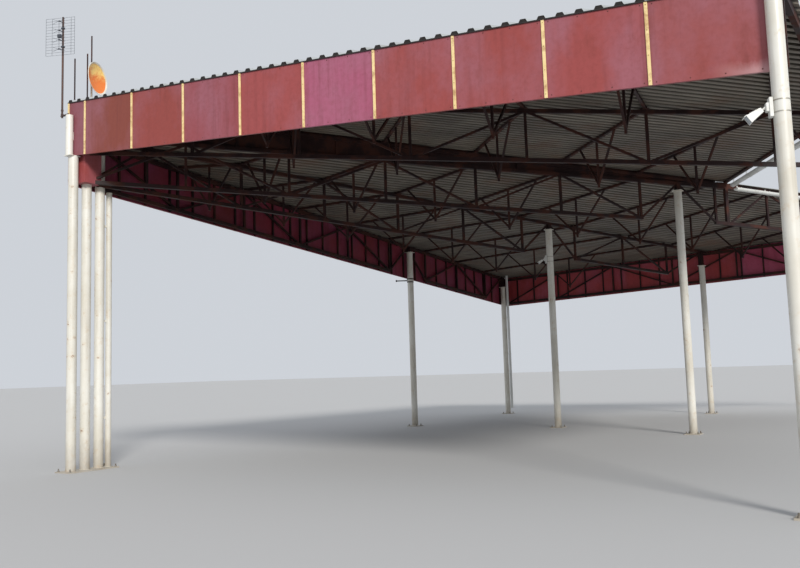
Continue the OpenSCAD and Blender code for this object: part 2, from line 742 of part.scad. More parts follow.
// Dish on a short mast that stands on such a strip
module dish() {
    c = [465, 157];
    color(c_dish) {
        rib_strip(c, rib_pitch + 120, rib_dir_right + 90);
        translate([c[0], c[1], rib_level(c) + 5]) cylinder(h = 390, d = 34, $fn = 24);
        translate([c[0], c[1], rib_level(c) + 390]) rotate([0, 0, 20]) rotate([0, 87, 0]) {
            translate([0, 0, 40]) rotate_extrude($fn = 48)
                polygon(concat([for (i = [0:6]) [i*50, i*i*2.4]], [for (i = [6:-1:0]) [i*50, i*i*2.4 + 5]]));
            translate([-12, -12, 0]) cube([24, 24, 42]);
        }
    }
}
// Three short poles on two strips near the hub
module roof_poles() {
    color(c_steel) {
        rib_strip([165, 300], 310, 0);
        rib_strip([35, 200], 250, 90);
        for (q = [[35, 110, 7670], [152, 300, 7810], [276, 300, 8140]])
            translate([q[0], q[1], rib_level(q) + 5])
                cylinder(h = q[2] - hub_right_z - rib_h, d = 26, $fn = 16);
    }
}

column_near();
column_right();
column_middle();
column_left();
column_back_left();
column_back_middle();
column_back_right();
hub_post_front();
hub_post_inner();
hub_post_left();
hub_base();
hub_head();
truss_near();
truss_first();
truss_second();
truss_third();
truss_left();
truss_back();
truss_inner_eave();
eave_beam_right();
purlins_first_bay();
purlins_second_bay();
purlins_third_bay();
purlins_fourth_bay();
deck_right();
deck_left();
lap_upstand();
near_fascia();
near_battens();
near_posts();
left_fascia();
left_battens();
left_posts();
back_fascia();
back_battens();
back_posts();
gutter_right();
gutter_inner();
downpipe();
lamp_near();
lamp_middle();
arm_left();
antenna_mast();
dish();
roof_poles();
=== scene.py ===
import bpy
import bmesh
from math import atan2, ceil, cos, floor, pi, radians, sin
from mathutils import Matrix, Vector


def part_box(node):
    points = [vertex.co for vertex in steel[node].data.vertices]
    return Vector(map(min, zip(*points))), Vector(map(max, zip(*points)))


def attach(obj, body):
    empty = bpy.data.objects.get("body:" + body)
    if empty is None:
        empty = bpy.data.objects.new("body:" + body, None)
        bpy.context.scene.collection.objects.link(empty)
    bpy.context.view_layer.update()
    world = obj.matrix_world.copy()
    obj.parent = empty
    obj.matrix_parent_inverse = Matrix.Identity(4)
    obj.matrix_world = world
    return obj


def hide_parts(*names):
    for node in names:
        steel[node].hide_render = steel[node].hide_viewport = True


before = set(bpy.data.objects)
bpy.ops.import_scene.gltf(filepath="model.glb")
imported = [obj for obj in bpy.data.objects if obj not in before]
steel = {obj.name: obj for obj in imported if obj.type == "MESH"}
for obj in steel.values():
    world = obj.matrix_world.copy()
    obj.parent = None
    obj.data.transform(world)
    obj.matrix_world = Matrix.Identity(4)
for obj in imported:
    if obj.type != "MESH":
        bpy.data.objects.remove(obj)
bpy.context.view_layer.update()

# Measures of the canopy, in metres
HUB_RIGHT_Z, HUB_LEFT_Z = 6.793, 6.25
FALL_RIGHT, RISE_BACK, FALL_BACK, LAP_STEP = 0.0906, 0.0349, 0.0747, 0.06
APEX = Vector((9.35, 11.0))
NEAR_LEN, BACK_LEN, DEPTH_Y, RIGHT_Y = 12.3, 14.2, 18.4, 5.6
CHORD, PURLIN, PANEL = 0.07, 0.05, 2.0
OFF, EAVE_LAP = 0.083, 0.06
RIB_PITCH, RIB_H, RIB_TOP, RIB_SIDE, SHEET_T = 0.169, 0.045, 0.05, 0.018, 0.003
RIB_RIGHT, RIB_LEFT = radians(43), radians(56)
FASCIA_H, FIRST_W, PANEL_W, FASCIA_END, BATTEN_T = 1.018, 0.496, 1.286, 12.057, 0.012
COL_D, BOLT_HALF, FOOT_T, CAP_HALF = 0.178, 0.125, 0.02, 0.11
HUB_TUBES = ((0.168, 0.0, COL_D), (0.158, 0.298, COL_D), (0.17, 0.583, COL_D), (0.178, 0.787, 0.11))
GUTTER_R, DOWN_D = 0.065, 0.09
DISH_R, DISH_DEEP, DISH_OUT = 0.3, 0.0864, 0.04
MAST_X, MAST_Y, MAST_FOOT, MAST_TIP, MAST_R = -0.046, -0.0955, 6.49, 8.43, 0.019
GRID_TURN, GRID_LOW, GRID_ROWS, GRID_STEP = radians(24), 7.695, 14, 0.0555
UP = Vector((0, 0, 1))
COLUMNS = ("column_near", "column_right", "column_middle", "column_left", "column_back_left",
           "column_back_middle", "column_back_right")


def level_left(x, y):
    """Height of the left wing's deck, at its underside."""
    return HUB_LEFT_Z + RISE_BACK * x - FALL_BACK * y


TURN_RIGHT = (level_left(*APEX) + LAP_STEP - HUB_RIGHT_Z + FALL_RIGHT * APEX.x) / APEX.y


def level_right(x, y):
    """Height of the right wing's deck, at its underside."""
    return HUB_RIGHT_Z - FALL_RIGHT * x + TURN_RIGHT * y


RIGHT_LINE = NEAR_LEN - CHORD / 2 - EAVE_LAP
BACK_LINE = DEPTH_Y - OFF
RAY_FIRST = atan2(RIGHT_Y - 0.12 - OFF, RIGHT_LINE - OFF)
RAY_SECOND = atan2(APEX.y - OFF, APEX.x - OFF)
RAY_THIRD = radians(68.4)
RAY_LEFT = radians(90)
# Shifts of the nodes of the first, second, third and left trusses
NODE_FIRST, NODE_SECOND, NODE_THIRD, NODE_LEFT = 0.31, 0.01, -0.64, -1.49


def on_ray(angle, reach):
    """A point along a truss that spreads from the hub."""
    return Vector((OFF + reach * cos(angle), OFF + reach * sin(angle)))


def on_deck(level, spot, up=0.0):
    """The point over a spot in plan, at a height over the deck's underside."""
    return Vector((spot.x, spot.y, level(spot.x, spot.y) + up))


def heading(angle):
    """A direction in plan, and the one to its left."""
    return Vector((cos(angle), sin(angle))), Vector((-sin(angle), cos(angle)))


def linked(name, data):
    """Puts a new object into the scene."""
    body = bpy.data.objects.new(name, data)
    bpy.context.scene.collection.objects.link(body)
    return body


def upright(x, y, z, turn=0.0):
    """A place for an upright piece, turned round Z."""
    return Matrix.Translation((x, y, z)) @ Matrix.Rotation(turn, 4, "Z")


def tone(colour):
    """A paint tone given in the 0 to 255 scale, as a linear colour."""
    out = []
    for v in colour:
        v = v / 255
        out.append(v / 12.92 if v <= 0.04045 else ((v + 0.055) / 1.055) ** 2.4)
    return (*out, 1.0)


# Shader node groups

def add_socket(tree, label, kind, value=None, side="INPUT"):
    socket = tree.interface.new_socket(name=label, in_out=side, socket_type="NodeSocket" + kind)
    if value is not None:
        socket.default_value = value


def open_group(name, inputs, outputs):
    """A group with float inputs, or a vector input where no value is given, and float outputs."""
    group = bpy.data.node_groups.new(name, "ShaderNodeTree")
    for label, value in inputs.items():
        add_socket(group, label, "Vector" if value is None else "Float", value)
    for label in outputs:
        add_socket(group, label, "Float", side="OUTPUT")
    start = group.nodes.new("NodeGroupInput")
    end = group.nodes.new("NodeGroupOutput")
    return group, start.outputs, end


def put(tree, kind, **settings):
    node = tree.nodes.new(kind)
    for key, value in settings.items():
        setattr(node, key, value)
    return node


def feed(tree, source, node, socket):
    """Joins a socket, or sets a plain value."""
    target = node.inputs[socket]
    if isinstance(source, bpy.types.NodeSocket):
        tree.links.new(source, target)
    else:
        target.default_value = source


def wired(tree, kind, inputs, **settings):
    """Puts a node, feeds its inputs, given by name or number, and gives its outputs."""
    node = put(tree, kind, **settings)
    for socket, source in inputs.items():
        feed(tree, source, node, socket)
    return node.outputs


def sums(tree, operation, a, b=0.0, clamp=False):
    return wired(tree, "ShaderNodeMath", {0: a, 1: b}, operation=operation, use_clamp=clamp)[0]


def times(tree, a, b):
    return sums(tree, "MULTIPLY", a, b)


def plus(tree, a, b):
    return sums(tree, "ADD", a, b)


def minus(tree, a, b):
    return sums(tree, "SUBTRACT", a, b)


def spread(tree, value, low, high, to_low=0.0, to_high=1.0):
    """Maps a value from one range to another, held at its ends."""
    ranges = {"Value": value, "From Min": low, "From Max": high, "To Min": to_low, "To Max": to_high}
    return wired(tree, "ShaderNodeMapRange", ranges, clamp=True)["Result"]


def blend_tones(tree, factor, a, b, mode="MIX"):
    """Mixes two colours. Three numbers are a paint tone."""
    a, b = (tone(c) if isinstance(c, tuple) and len(c) == 3 else c for c in (a, b))
    tones = {"Factor": factor, 6: a, 7: b}
    return wired(tree, "ShaderNodeMix", tones, data_type="RGBA", blend_type=mode)[2]


def layer(tree, base, mask, strength, colour):
    """Lays a tone over the base where the mask says, at a strength of 0 to 1."""
    if strength < 1:
        mask = times(tree, mask, strength)
    return blend_tones(tree, mask, base, colour)


def cloud(tree, place, scale, detail=4.0, rough=0.55, stretch=(1, 1, 1), shift=(0, 0, 0)):
    """Soft noise over a piece, stretched and shifted as asked."""
    spot = wired(tree, "ShaderNodeMapping", {"Vector": place, "Scale": stretch, "Location": shift})
    inputs = {"Vector": spot[0], "Scale": scale, "Detail": detail, "Roughness": rough}
    return wired(tree, "ShaderNodeTexNoise", inputs, noise_dimensions="3D")["Fac"]


def split_place(tree, place):
    return wired(tree, "ShaderNodeSeparateXYZ", {"Vector": place})


def rain_runs_group():
    """Runs of dirt that water leaves on an upright face."""
    inputs = {"Place": None, "Width": 9.0, "Amount": 0.5}
    group, start, end = open_group("Rain Runs", inputs, ("Runs", "Haze"))
    fine = cloud(group, start["Place"], start["Width"], 5, 0.6, (1, 1, 0.045))
    broad = cloud(group, start["Place"], 1.7, 3, 0.5, (1, 1, 0.35), (4, 2, 7))
    runs = times(group, spread(group, fine, 0.47, 0.72), spread(group, broad, 0.35, 0.65))
    feed(group, sums(group, "MULTIPLY", runs, start["Amount"], True), end, "Runs")
    feed(group, spread(group, broad, 0.3, 0.7), end, "Haze")
    return group


def rust_group():
    """Blotches of rust with a soft halo."""
    inputs = {"Place": None, "Size": 3.0, "Cover": 0.4}
    group, start, end = open_group("Rust Blotches", inputs, ("Rust", "Halo", "Grit"))
    big = cloud(group, start["Place"], start["Size"], 6, 0.62)
    grit = cloud(group, start["Place"], 90.0, 3, 0.7)
    level = minus(group, 0.78, times(group, start["Cover"], 0.5))
    edge = minus(group, plus(group, big, times(group, grit, 0.08)), level)
    feed(group, spread(group, edge, -0.02, 0.06), end, "Rust")
    feed(group, spread(group, edge, -0.14, 0.02), end, "Halo")
    feed(group, grit, end, "Grit")
    return group


def bay_tint_group():
    """A steady random value for each bay along a direction, for parts painted panel by panel."""
    inputs = {"Run": 0.0, "First": 0.5, "Pitch": 1.3, "Seed": 1.0}
    group, start, end = open_group("Bay Tint", inputs, ("Value", "Bay", "Across"))
    bay = sums(group, "DIVIDE", minus(group, start["Run"], start["First"]), start["Pitch"])
    whole = sums(group, "FLOOR", bay)
    number = plus(group, whole, start["Seed"])
    noise = wired(group, "ShaderNodeTexWhiteNoise", {"W": number}, noise_dimensions="1D")
    feed(group, noise["Value"], end, "Value")
    feed(group, whole, end, "Bay")
    feed(group, sums(group, "FRACT", bay), end, "Across")
    return group


def splash_group():
    """Dirt that splashes up from the ground, strongest at the foot."""
    group, start, end = open_group("Ground Splash", {"Place": None, "Reach": 0.6}, ("Dirt",))
    height = split_place(group, start["Place"])["Z"]
    rise = sums(group, "DIVIDE", height, start["Reach"])
    ragged = cloud(group, start["Place"], 7.0, 4, 0.6, (1, 1, 0.5))
    level = minus(group, plus(group, 1.25, times(group, ragged, -0.9)), rise)
    feed(group, spread(group, level, 0.0, 1.0), end, "Dirt")
    return group


RAIN = rain_runs_group()
RUST = rust_group()
BAY = bay_tint_group()
SPLASH = splash_group()


def use(tree, group, **values):
    """Puts a group and gives its outputs."""
    return wired(tree, "ShaderNodeGroup", values, node_tree=group)


def open_finish(name, metallic=0.0, specular=0.5):
    finish = bpy.data.materials.new(name)
    finish.use_nodes = True
    tree = finish.node_tree
    shader = tree.nodes["Principled BSDF"]
    feed(tree, metallic, shader, "Metallic")
    feed(tree, specular, shader, "Specular IOR Level")
    return finish, tree, put(tree, "ShaderNodeTexCoord").outputs["Object"]


def coat(finish, base, rough, height, strength, distance):
    """Gives a finish its colour, its roughness and its fine relief."""
    tree = finish.node_tree
    relief = {"Height": height, "Strength": strength, "Distance": distance}
    normal = wired(tree, "ShaderNodeBump", relief)[0]
    for socket, source in (("Base Color", base), ("Roughness", rough), ("Normal", normal)):
        feed(tree, source, tree.nodes["Principled BSDF"], socket)
    return finish


# Finishes

def panel_red(name, axis, first, pitch, seed, odd_panels=(), inside_shading=None, wash=False):
    """Faded red paint on folded panels: each panel its own shade, chalky mauve bloom, rain runs.

    The inside shading, given as an axis, a sign and a factor, multiplies the base where a face looks
    inward: a painted shade that darkens the left fascia's inner face, and a redder tint on the back
    fascia's inner face.
    The wash is a pale wedge at the foot of the near side's last panel.
    """
    finish, tree, place = open_finish(name, 0.0, 0.32)
    parts = split_place(tree, place)
    tint = use(tree, BAY, Run=parts[axis], First=first, Pitch=pitch, Seed=seed)
    rain = use(tree, RAIN, Place=place, Width=11.0, Amount=0.5)
    bloom = cloud(tree, place, 1.3, 5, 0.6, (1, 1, 0.7), (3, 1, 5))
    mottle = cloud(tree, place, 14.0, 5, 0.65)
    base = blend_tones(tree, tint["Value"], (146, 68, 62), (158, 76, 76))
    for bay, shade in odd_panels:
        near = {0: tint["Bay"], 1: bay, 2: 0.3}
        here = wired(tree, "ShaderNodeMath", near, operation="COMPARE")
        base = layer(tree, base, here[0], 1, shade)
    left_edge = times(tree, spread(tree, tint["Across"], 0.32, 0.02), spread(tree, bloom, 0.36, 0.6))
    chalk = sums(tree, "MAXIMUM", times(tree, spread(tree, bloom, 0.4, 0.68), 0.5),
                 times(tree, left_edge, 0.6))
    base = layer(tree, base, chalk, 1, (158, 108, 124))
    scuffs = cloud(tree, place, 3.4, 6, 0.7, (1, 1, 0.4), (8, 0, 2))
    base = layer(tree, base, spread(tree, scuffs, 0.55, 0.72), 0.45, (122, 58, 50))
    base = layer(tree, base, spread(tree, mottle, 0.45, 0.7), 0.25, (116, 52, 48))
    base = layer(tree, base, rain["Runs"], 1, (104, 48, 46))
    edge = sums(tree, "ABSOLUTE", minus(tree, tint["Across"], 0.5))
    base = layer(tree, base, spread(tree, edge, 0.462, 0.5), 0.35, (84, 40, 38))
    if wash:
        foot = HUB_RIGHT_Z - FASCIA_H
        along, height = parts["X"], parts["Z"]
        rise = plus(tree, times(tree, along, FALL_RIGHT), height)
        ragged = times(tree, minus(tree, scuffs, 0.5), 0.25)
        low = spread(tree, plus(tree, rise, ragged), foot + 0.17, foot + 0.06)
        far = spread(tree, along, FASCIA_END - 0.6, FASCIA_END - 0.15)
        base = layer(tree, base, times(tree, low, far), 0.7, (192, 150, 152))
    # Painted shade: faces that look inward take the shading factor, darker on the left fascia and redder
    # on the back
    if inside_shading:
        side, sign, shading_factor = inside_shading
        facing = split_place(tree, put(tree, "ShaderNodeNewGeometry").outputs["True Normal"])
        inner = spread(tree, facing[side], 0.0, 0.5 * sign)
        base = blend_tones(tree, inner, base, shading_factor, "MULTIPLY")
    dents = plus(tree, cloud(tree, place, 2.2, 2, 0.4), times(tree, mottle, 0.03))
    return coat(finish, base, spread(tree, bloom, 0.3, 0.7, 0.42, 0.66), dents, 0.35, 0.03)


def batten_yellow():
    finish, tree, place = open_finish("batten_pale_yellow", 0.0, 0.4)
    rain = use(tree, RAIN, Place=place, Width=26.0, Amount=0.6)
    rust = use(tree, RUST, Place=place, Size=6.0, Cover=0.22)
    soft = spread(tree, cloud(tree, place, 5.0), 0.35, 0.65)
    base = blend_tones(tree, soft, (246, 222, 164), (236, 208, 148))
    base = layer(tree, base, rain["Runs"], 1, (194, 160, 108))
    base = layer(tree, base, rust["Halo"], 0.6, (150, 92, 50))
    return coat(finish, base, spread(tree, rain["Haze"], 0, 1, 0.45, 0.62), rust["Grit"], 0.15, 0.004)


def primer_brown(name, light=1.0, cover=0.45):
    """Old brown primer on the lattice, dusty on top and rusting in blotches."""
    finish, tree, place = open_finish(name, 0.0, 0.25)
    rust = use(tree, RUST, Place=place, Size=2.6, Cover=cover)
    dust = cloud(tree, place, 0.9, 4, 0.6)
    dark, warm = ((*(v * light for v in tone(c)[:3]), 1.0) for c in ((29, 17, 18), (39, 21, 21)))
    base = blend_tones(tree, spread(tree, dust, 0.35, 0.65), dark, warm)
    base = layer(tree, base, rust["Halo"], 0.4, (58, 34, 30))
    base = layer(tree, base, rust["Rust"], 0.6, (80, 47, 37))
    return coat(finish, base, spread(tree, rust["Rust"], 0, 1, 0.55, 0.88), rust["Grit"], 0.3, 0.003)


def column_white(name):
    """White gloss paint, yellowed, with grime from the ground and rust where it is knocked."""
    finish, tree, place = open_finish(name)
    splash = use(tree, SPLASH, Place=place, Reach=0.7)
    rain = use(tree, RAIN, Place=place, Width=14.0, Amount=0.35)
    rust = use(tree, RUST, Place=place, Size=9.0, Cover=0.1)
    soft = spread(tree, cloud(tree, place, 1.1, 4), 0.35, 0.65)
    base = blend_tones(tree, soft, (226, 224, 216), (208, 203, 190))
    base = layer(tree, base, rain["Runs"], 1, (160, 150, 132))
    base = layer(tree, base, splash["Dirt"], 0.7, (122, 108, 90))
    base = layer(tree, base, rust["Halo"], 0.35, (190, 160, 118))
    base = layer(tree, base, rust["Rust"], 1, (116, 62, 36))
    worn = sums(tree, "MAXIMUM", splash["Dirt"], rust["Halo"])
    ripple = plus(tree, cloud(tree, place, 3.0, 2, 0.4, (1, 1, 0.3)), times(tree, rust["Grit"], 0.1))
    return coat(finish, base, spread(tree, worn, 0, 1, 0.36, 0.8), ripple, 0.2, 0.006)


def zinc_sheet(name, angle, low, high):
    """Weathered zinc on the ribbed sheet: painted shade in the rib hollows, streaks below, bleached on
    top.
    """
    finish, tree, place = open_finish(name, 0.2, 0.45)
    turn = wired(tree, "ShaderNodeMapping", {"Vector": place, "Rotation": (0, 0, -angle)})
    parts = split_place(tree, turn[0])
    sheet = use(tree, BAY, Run=parts["Y"], First=0.0, Pitch=6 * RIB_PITCH, Seed=4.0)
    rib = use(tree, BAY, Run=parts["Y"], First=0.0, Pitch=RIB_PITCH, Seed=9.0)
    streak = cloud(tree, turn[0], 6.0, 5, 0.6, (0.12, 1.6, 1))
    spangle = cloud(tree, place, 38.0, 4, 0.7)
    bloom = cloud(tree, place, 0.8, 5, 0.6)
    base = blend_tones(tree, sheet["Value"], low, high)
    base = layer(tree, base, spread(tree, bloom, 0.48, 0.72), 0.6, (156, 148, 134))
    # Painted shade: each rib, a recess seen from below, is darkened towards its hollow
    foot = 1 - (RIB_TOP + 2 * RIB_SIDE) / RIB_PITCH
    hollow_shade = times(tree, spread(tree, rib["Across"], foot - 0.04, foot + 0.06),
                   spread(tree, rib["Across"], 1.0, 0.94))
    base = layer(tree, base, hollow_shade, 0.88, (36, 31, 28))
    base = layer(tree, base, spread(tree, streak, 0.42, 0.7), 0.55, (62, 55, 48))
    rust = use(tree, RUST, Place=turn[0], Size=0.9, Cover=0.18)
    base = layer(tree, base, rust["Halo"], 0.35, (118, 82, 58))
    facing = put(tree, "ShaderNodeNewGeometry").outputs["True Normal"]
    above = spread(tree, split_place(tree, facing)["Z"], 0.0, 0.1)
    pale = blend_tones(tree, spread(tree, bloom, 0.35, 0.65), (176, 182, 186), (150, 153, 153))
    bleached = layer(tree, pale, spread(tree, streak, 0.5, 0.75), 0.4, (120, 116, 108))
    base = blend_tones(tree, above, base, bleached)
    relief = plus(tree, times(tree, spangle, 0.05), streak)
    return coat(finish, base, spread(tree, spangle, 0.3, 0.7, 0.42, 0.64), relief, 0.12, 0.01)


def gutter_white():
    finish, tree, place = open_finish("gutter_coat_white")
    rain = use(tree, RAIN, Place=place, Width=18.0, Amount=0.5)
    base = blend_tones(tree, rain["Haze"], (226, 228, 226), (206, 207, 202))
    base = layer(tree, base, rain["Runs"], 1, (150, 146, 134))
    return coat(finish, base, spread(tree, rain["Haze"], 0, 1, 0.34, 0.5), rain["Haze"], 0.1, 0.004)


def plain_finish(name, rough, metallic, grain, colour, mark):
    """A small part's finish: one tone with fine grain, and marks in a second tone."""
    finish, tree, place = open_finish(name, metallic)
    speck = cloud(tree, place, grain, 4, 0.6)
    base = layer(tree, colour, spread(tree, cloud(tree, place, 7.0), 0.45, 0.7), 0.6, mark)
    return coat(finish, base, spread(tree, speck, 0.3, 0.7, rough - 0.06, rough + 0.1), speck, 0.12, 0.002)


near_red = panel_red("near_panel_red", "X", FIRST_W, PANEL_W, 3.0, (
    (-1, (136, 80, 88)), (0, (132, 66, 54)), (2, (148, 74, 80)),
    (4, (168, 90, 116)), (8, (150, 76, 74))), wash=True)
side_red = panel_red("left_panel_red", "Y", FIRST_W, PANEL_W, 11.0, ((2, (134, 68, 54)),),
                     ("X", 1, (0.66, 0.36, 0.64, 1.0)))
back_red = panel_red("back_panel_red", "X", FIRST_W, PANEL_W, 23.0, ((6, (158, 78, 98)),),
                     ("Y", -1, (1.3, 0.85, 1.05, 1.0)))
yellow = batten_yellow()
brown = primer_brown("lattice_primer_brown")
brown_pale = primer_brown("purlin_primer_brown", 1.15, 0.5)
white = column_white("column_gloss_white")
zinc_right = zinc_sheet("right_deck_zinc", RIB_RIGHT, (126, 118, 106), (104, 97, 88))
zinc_left = zinc_sheet("left_deck_zinc", RIB_LEFT, (120, 112, 100), (100, 93, 84))
gutter_coat = gutter_white()
head_red = panel_red("hub_head_red", "X", 0.0, 3.0, 2.0)


def dish_finish():
    """Orange coat on the dish, bleached towards yellow at its top."""
    finish, tree, place = open_finish("dish_orange")
    height = split_place(tree, place)["Z"]
    ragged = cloud(tree, place, 9.0, 5, 0.6)
    level = plus(tree, height, times(tree, minus(tree, ragged, 0.5), 0.5))
    base = blend_tones(tree, spread(tree, level, 7.2, 7.34), (228, 126, 54), (252, 214, 128))
    base = layer(tree, base, spread(tree, cloud(tree, place, 24.0), 0.5, 0.7), 0.4, (214, 98, 44))
    return coat(finish, base, spread(tree, ragged, 0.3, 0.7, 0.38, 0.55), ragged, 0.1, 0.003)


orange = dish_finish()

# Finishes by how a node's name starts. The first that fits is taken
FINISHES = (
    ("near_fascia", near_red), ("left_fascia", side_red), ("back_fascia", back_red),
    ("near_battens", yellow), ("left_battens", yellow), ("back_battens", yellow),
    ("deck_right", zinc_right), ("deck_left", zinc_left),
    ("gutter", gutter_coat), ("downpipe", gutter_coat), ("hub_head", head_red), ("hub_", white),
    ("column", white), ("purlins", brown_pale), ("", brown))
for node_name, body in steel.items():
    finish = [finish for start, finish in FINISHES if node_name.startswith(start)][0]
    for spot in body.material_slots:
        spot.material = finish
    if not body.material_slots:
        body.data.materials.append(finish)


# Shapes of the small pieces

class Shape:
    """Collects the faces of one piece."""

    def __init__(self):
        self.mesh = bmesh.new()

    def block(self, low, high, place=Matrix(), bevel=0.0):
        low, high = Vector(low), Vector(high)
        middle, size = (low + high) / 2, high - low
        spot = place @ Matrix.LocRotScale(middle, None, size)
        made = bmesh.ops.create_cube(self.mesh, size=1.0, matrix=spot)
        if bevel:
            edges = list(dict.fromkeys(edge for corner in made["verts"] for edge in corner.link_edges))
            bmesh.ops.bevel(self.mesh, geom=edges, offset=bevel, segments=2, affect="EDGES")

    def rod(self, a, b, radius, sides=8, far_radius=None, place=Matrix()):
        a, b = place @ Vector(a), place @ Vector(b)
        run = b - a
        turn = run.to_track_quat("Z", "Y").to_matrix().to_4x4()
        bmesh.ops.create_cone(
            self.mesh, cap_ends=True, segments=sides, radius1=radius,
            radius2=radius if far_radius is None else far_radius, depth=run.length,
            matrix=Matrix.Translation((a + b) / 2) @ turn)

    def sweep_ring(self, place, radius, section, steps=32, start=0.0, stop=2 * pi):
        """Turns an outline of (out, up) points round the place's own Z."""
        closed = abs(stop - start - 2 * pi) < 1e-6
        count = steps if closed else steps + 1
        rings = []
        for i in range(count):
            a = start + (stop - start) * i / steps
            rings.append([self.mesh.verts.new(place @ Vector((
                (radius + out) * cos(a), (radius + out) * sin(a), up))) for out, up in section])
        size = len(section)
        for i in range(steps):
            here, after = rings[i], rings[(i + 1) % count]
            for k in range(size):
                self.mesh.faces.new((here[k], after[k], after[(k + 1) % size], here[(k + 1) % size]))
        if not closed:
            self.mesh.faces.new(rings[0][::-1])
            self.mesh.faces.new(rings[-1])

    def collar(self, place, radius, inner, outer, height, steps, start=0.0, stop=2 * pi):
        """A flat band round the place's own Z, from an inner to an outer distance off the radius."""
        section = ((inner, 0.0), (outer, 0.0), (outer, height), (inner, height))
        self.sweep_ring(place, radius, section, steps, start, stop)

    def lug_pair(self, place, reach, out, gap, thick, low, high):
        """Two ears that close a band, side by side."""
        for side in (-1, 1):
            near, far = sorted((side * gap, side * (gap + thick)))
            self.block((reach, near, low), (reach + out, far, high), place)

    def shell(self, corners):
        """A solid from eight corners: four below, then four above, in the same order."""
        v = [self.mesh.verts.new(c) for c in corners]
        for face in ((3, 2, 1, 0), (4, 5, 6, 7), (0, 1, 5, 4), (1, 2, 6, 5), (2, 3, 7, 6), (3, 0, 4, 7)):
            self.mesh.faces.new([v[i] for i in face])

    def on_wing(self, level, origin, along, low, high):
        """A block that lies in a roof wing: along a direction, beside it, and up from the deck."""
        run, beside = heading(along)
        plan = ((low[0], low[1]), (high[0], low[1]), (high[0], high[1]), (low[0], high[1]))
        self.shell([on_deck(level, Vector(origin) + run * a + beside * b, up)
                    for up in (low[2], high[2]) for a, b in plan])


def settle(name, mesh, finish):
    """Links a finished mesh as a piece that rides with the canopy."""
    mesh.materials.clear()
    mesh.materials.append(finish)
    piece = linked(name, mesh)
    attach(piece, "root")
    return piece


def finish_shape(name, shape, finish, smooth_angle=None):
    mesh = bpy.data.meshes.new(name)
    bmesh.ops.recalc_face_normals(shape.mesh, faces=shape.mesh.faces)
    if smooth_angle:
        for face in shape.mesh.faces:
            face.smooth = True
        for edge in shape.mesh.edges:
            edge.smooth = len(edge.link_faces) == 2 and edge.calc_face_angle(0.0) < smooth_angle
    shape.mesh.to_mesh(mesh)
    shape.mesh.free()
    return settle(name, mesh, finish)


# Rows of screws, nuts and rivets

def fastener_tree():
    """Sets a washer and a head on every point, turned the way the point's own facing says."""
    tree = bpy.data.node_groups.new("Fastener Rows", "GeometryNodeTree")
    sizes = (("Head Radius", 0.006), ("Head Top", 0.0055), ("Head Height", 0.005),
             ("Washer Radius", 0.009), ("Washer Height", 0.002))
    add_socket(tree, "Points", "Geometry")
    for label, value in sizes:
        add_socket(tree, label, "Float", value)
    add_socket(tree, "Sides", "Int", 6)
    add_socket(tree, "Finish", "Material")
    add_socket(tree, "Fasteners", "Geometry", side="OUTPUT")
    start = tree.nodes.new("NodeGroupInput").outputs
    end = tree.nodes.new("NodeGroupOutput")

    def disc(bottom, top, height, corners):
        sizes = {"Radius Bottom": start[bottom], "Radius Top": start[top],
                 "Depth": start[height], "Vertices": corners}
        return wired(tree, "GeometryNodeMeshCone", sizes)["Mesh"]

    washer = disc("Washer Radius", "Washer Radius", "Washer Height", 8)
    head = disc("Head Radius", "Head Top", "Head Height", start["Sides"])
    lift = wired(tree, "ShaderNodeCombineXYZ", {"Z": start["Washer Height"]})
    raised = wired(tree, "GeometryNodeTransform", {"Geometry": head, "Translation": lift[0]})
    both = put(tree, "GeometryNodeJoinGeometry")
    for part in (washer, raised[0]):
        tree.links.new(part, both.inputs[0])
    facing = wired(tree, "GeometryNodeInputNamedAttribute", {"Name": "facing"}, data_type="FLOAT_VECTOR")
    turn = wired(tree, "FunctionNodeAlignRotationToVector", {"Vector": facing["Attribute"]}, axis="Z")
    # Inputs 2 and 3 are the least and the most of a plain number, and output 1 is that number
    full_turn = 6.28
    chance = wired(tree, "FunctionNodeRandomValue", {2: 0.0, 3: full_turn, "Seed": 7}, data_type="FLOAT")
    twist = wired(tree, "ShaderNodeCombineXYZ", {"Z": chance[1]})
    to_turn = wired(tree, "FunctionNodeEulerToRotation", {0: twist[0]})
    spun = wired(tree, "FunctionNodeRotateRotation", {0: turn[0], 1: to_turn[0]},
                 rotation_space="LOCAL")
    rows = wired(tree, "GeometryNodeInstanceOnPoints", {
        "Points": start["Points"], "Instance": both.outputs[0], "Rotation": spun[0]})
    real = wired(tree, "GeometryNodeRealizeInstances", {"Geometry": rows[0]})
    coated = wired(tree, "GeometryNodeSetMaterial", {"Geometry": real[0], "Material": start["Finish"]})
    tree.links.new(coated[0], end.inputs[0])
    return tree


FASTENERS = fastener_tree()


def fasteners(name, spots, finish, head, top, height, washer, washer_height, sides=6):
    """One plain mesh of fasteners on spots of (place, facing)."""
    mesh = bpy.data.meshes.new(name + "_points")
    mesh.from_pydata([place for place, facing in spots], [], [])
    facing_data = mesh.attributes.new("facing", "FLOAT_VECTOR", "POINT")
    facing_data.data.foreach_set("vector", [v for place, facing in spots for v in facing])
    points = linked(name + "_points", mesh)
    rows = points.modifiers.new("rows", "NODES")
    rows.node_group = FASTENERS
    values = {"Head Radius": head, "Head Top": top, "Head Height": height, "Washer Radius": washer,
              "Washer Height": washer_height, "Sides": sides, "Finish": finish}
    for item in FASTENERS.interface.items_tree:
        if item.in_out == "INPUT" and item.name in values:
            rows[item.identifier] = values[item.name]
    bpy.context.view_layer.update()
    made = bpy.data.meshes.new_from_object(points.evaluated_get(bpy.context.evaluated_depsgraph_get()))
    bpy.data.objects.remove(points)
    bpy.data.meshes.remove(mesh)
    made.name = name
    for attribute in [a for a in made.attributes if a.name == "facing"]:
        made.attributes.remove(attribute)
    return settle(name, made, finish)


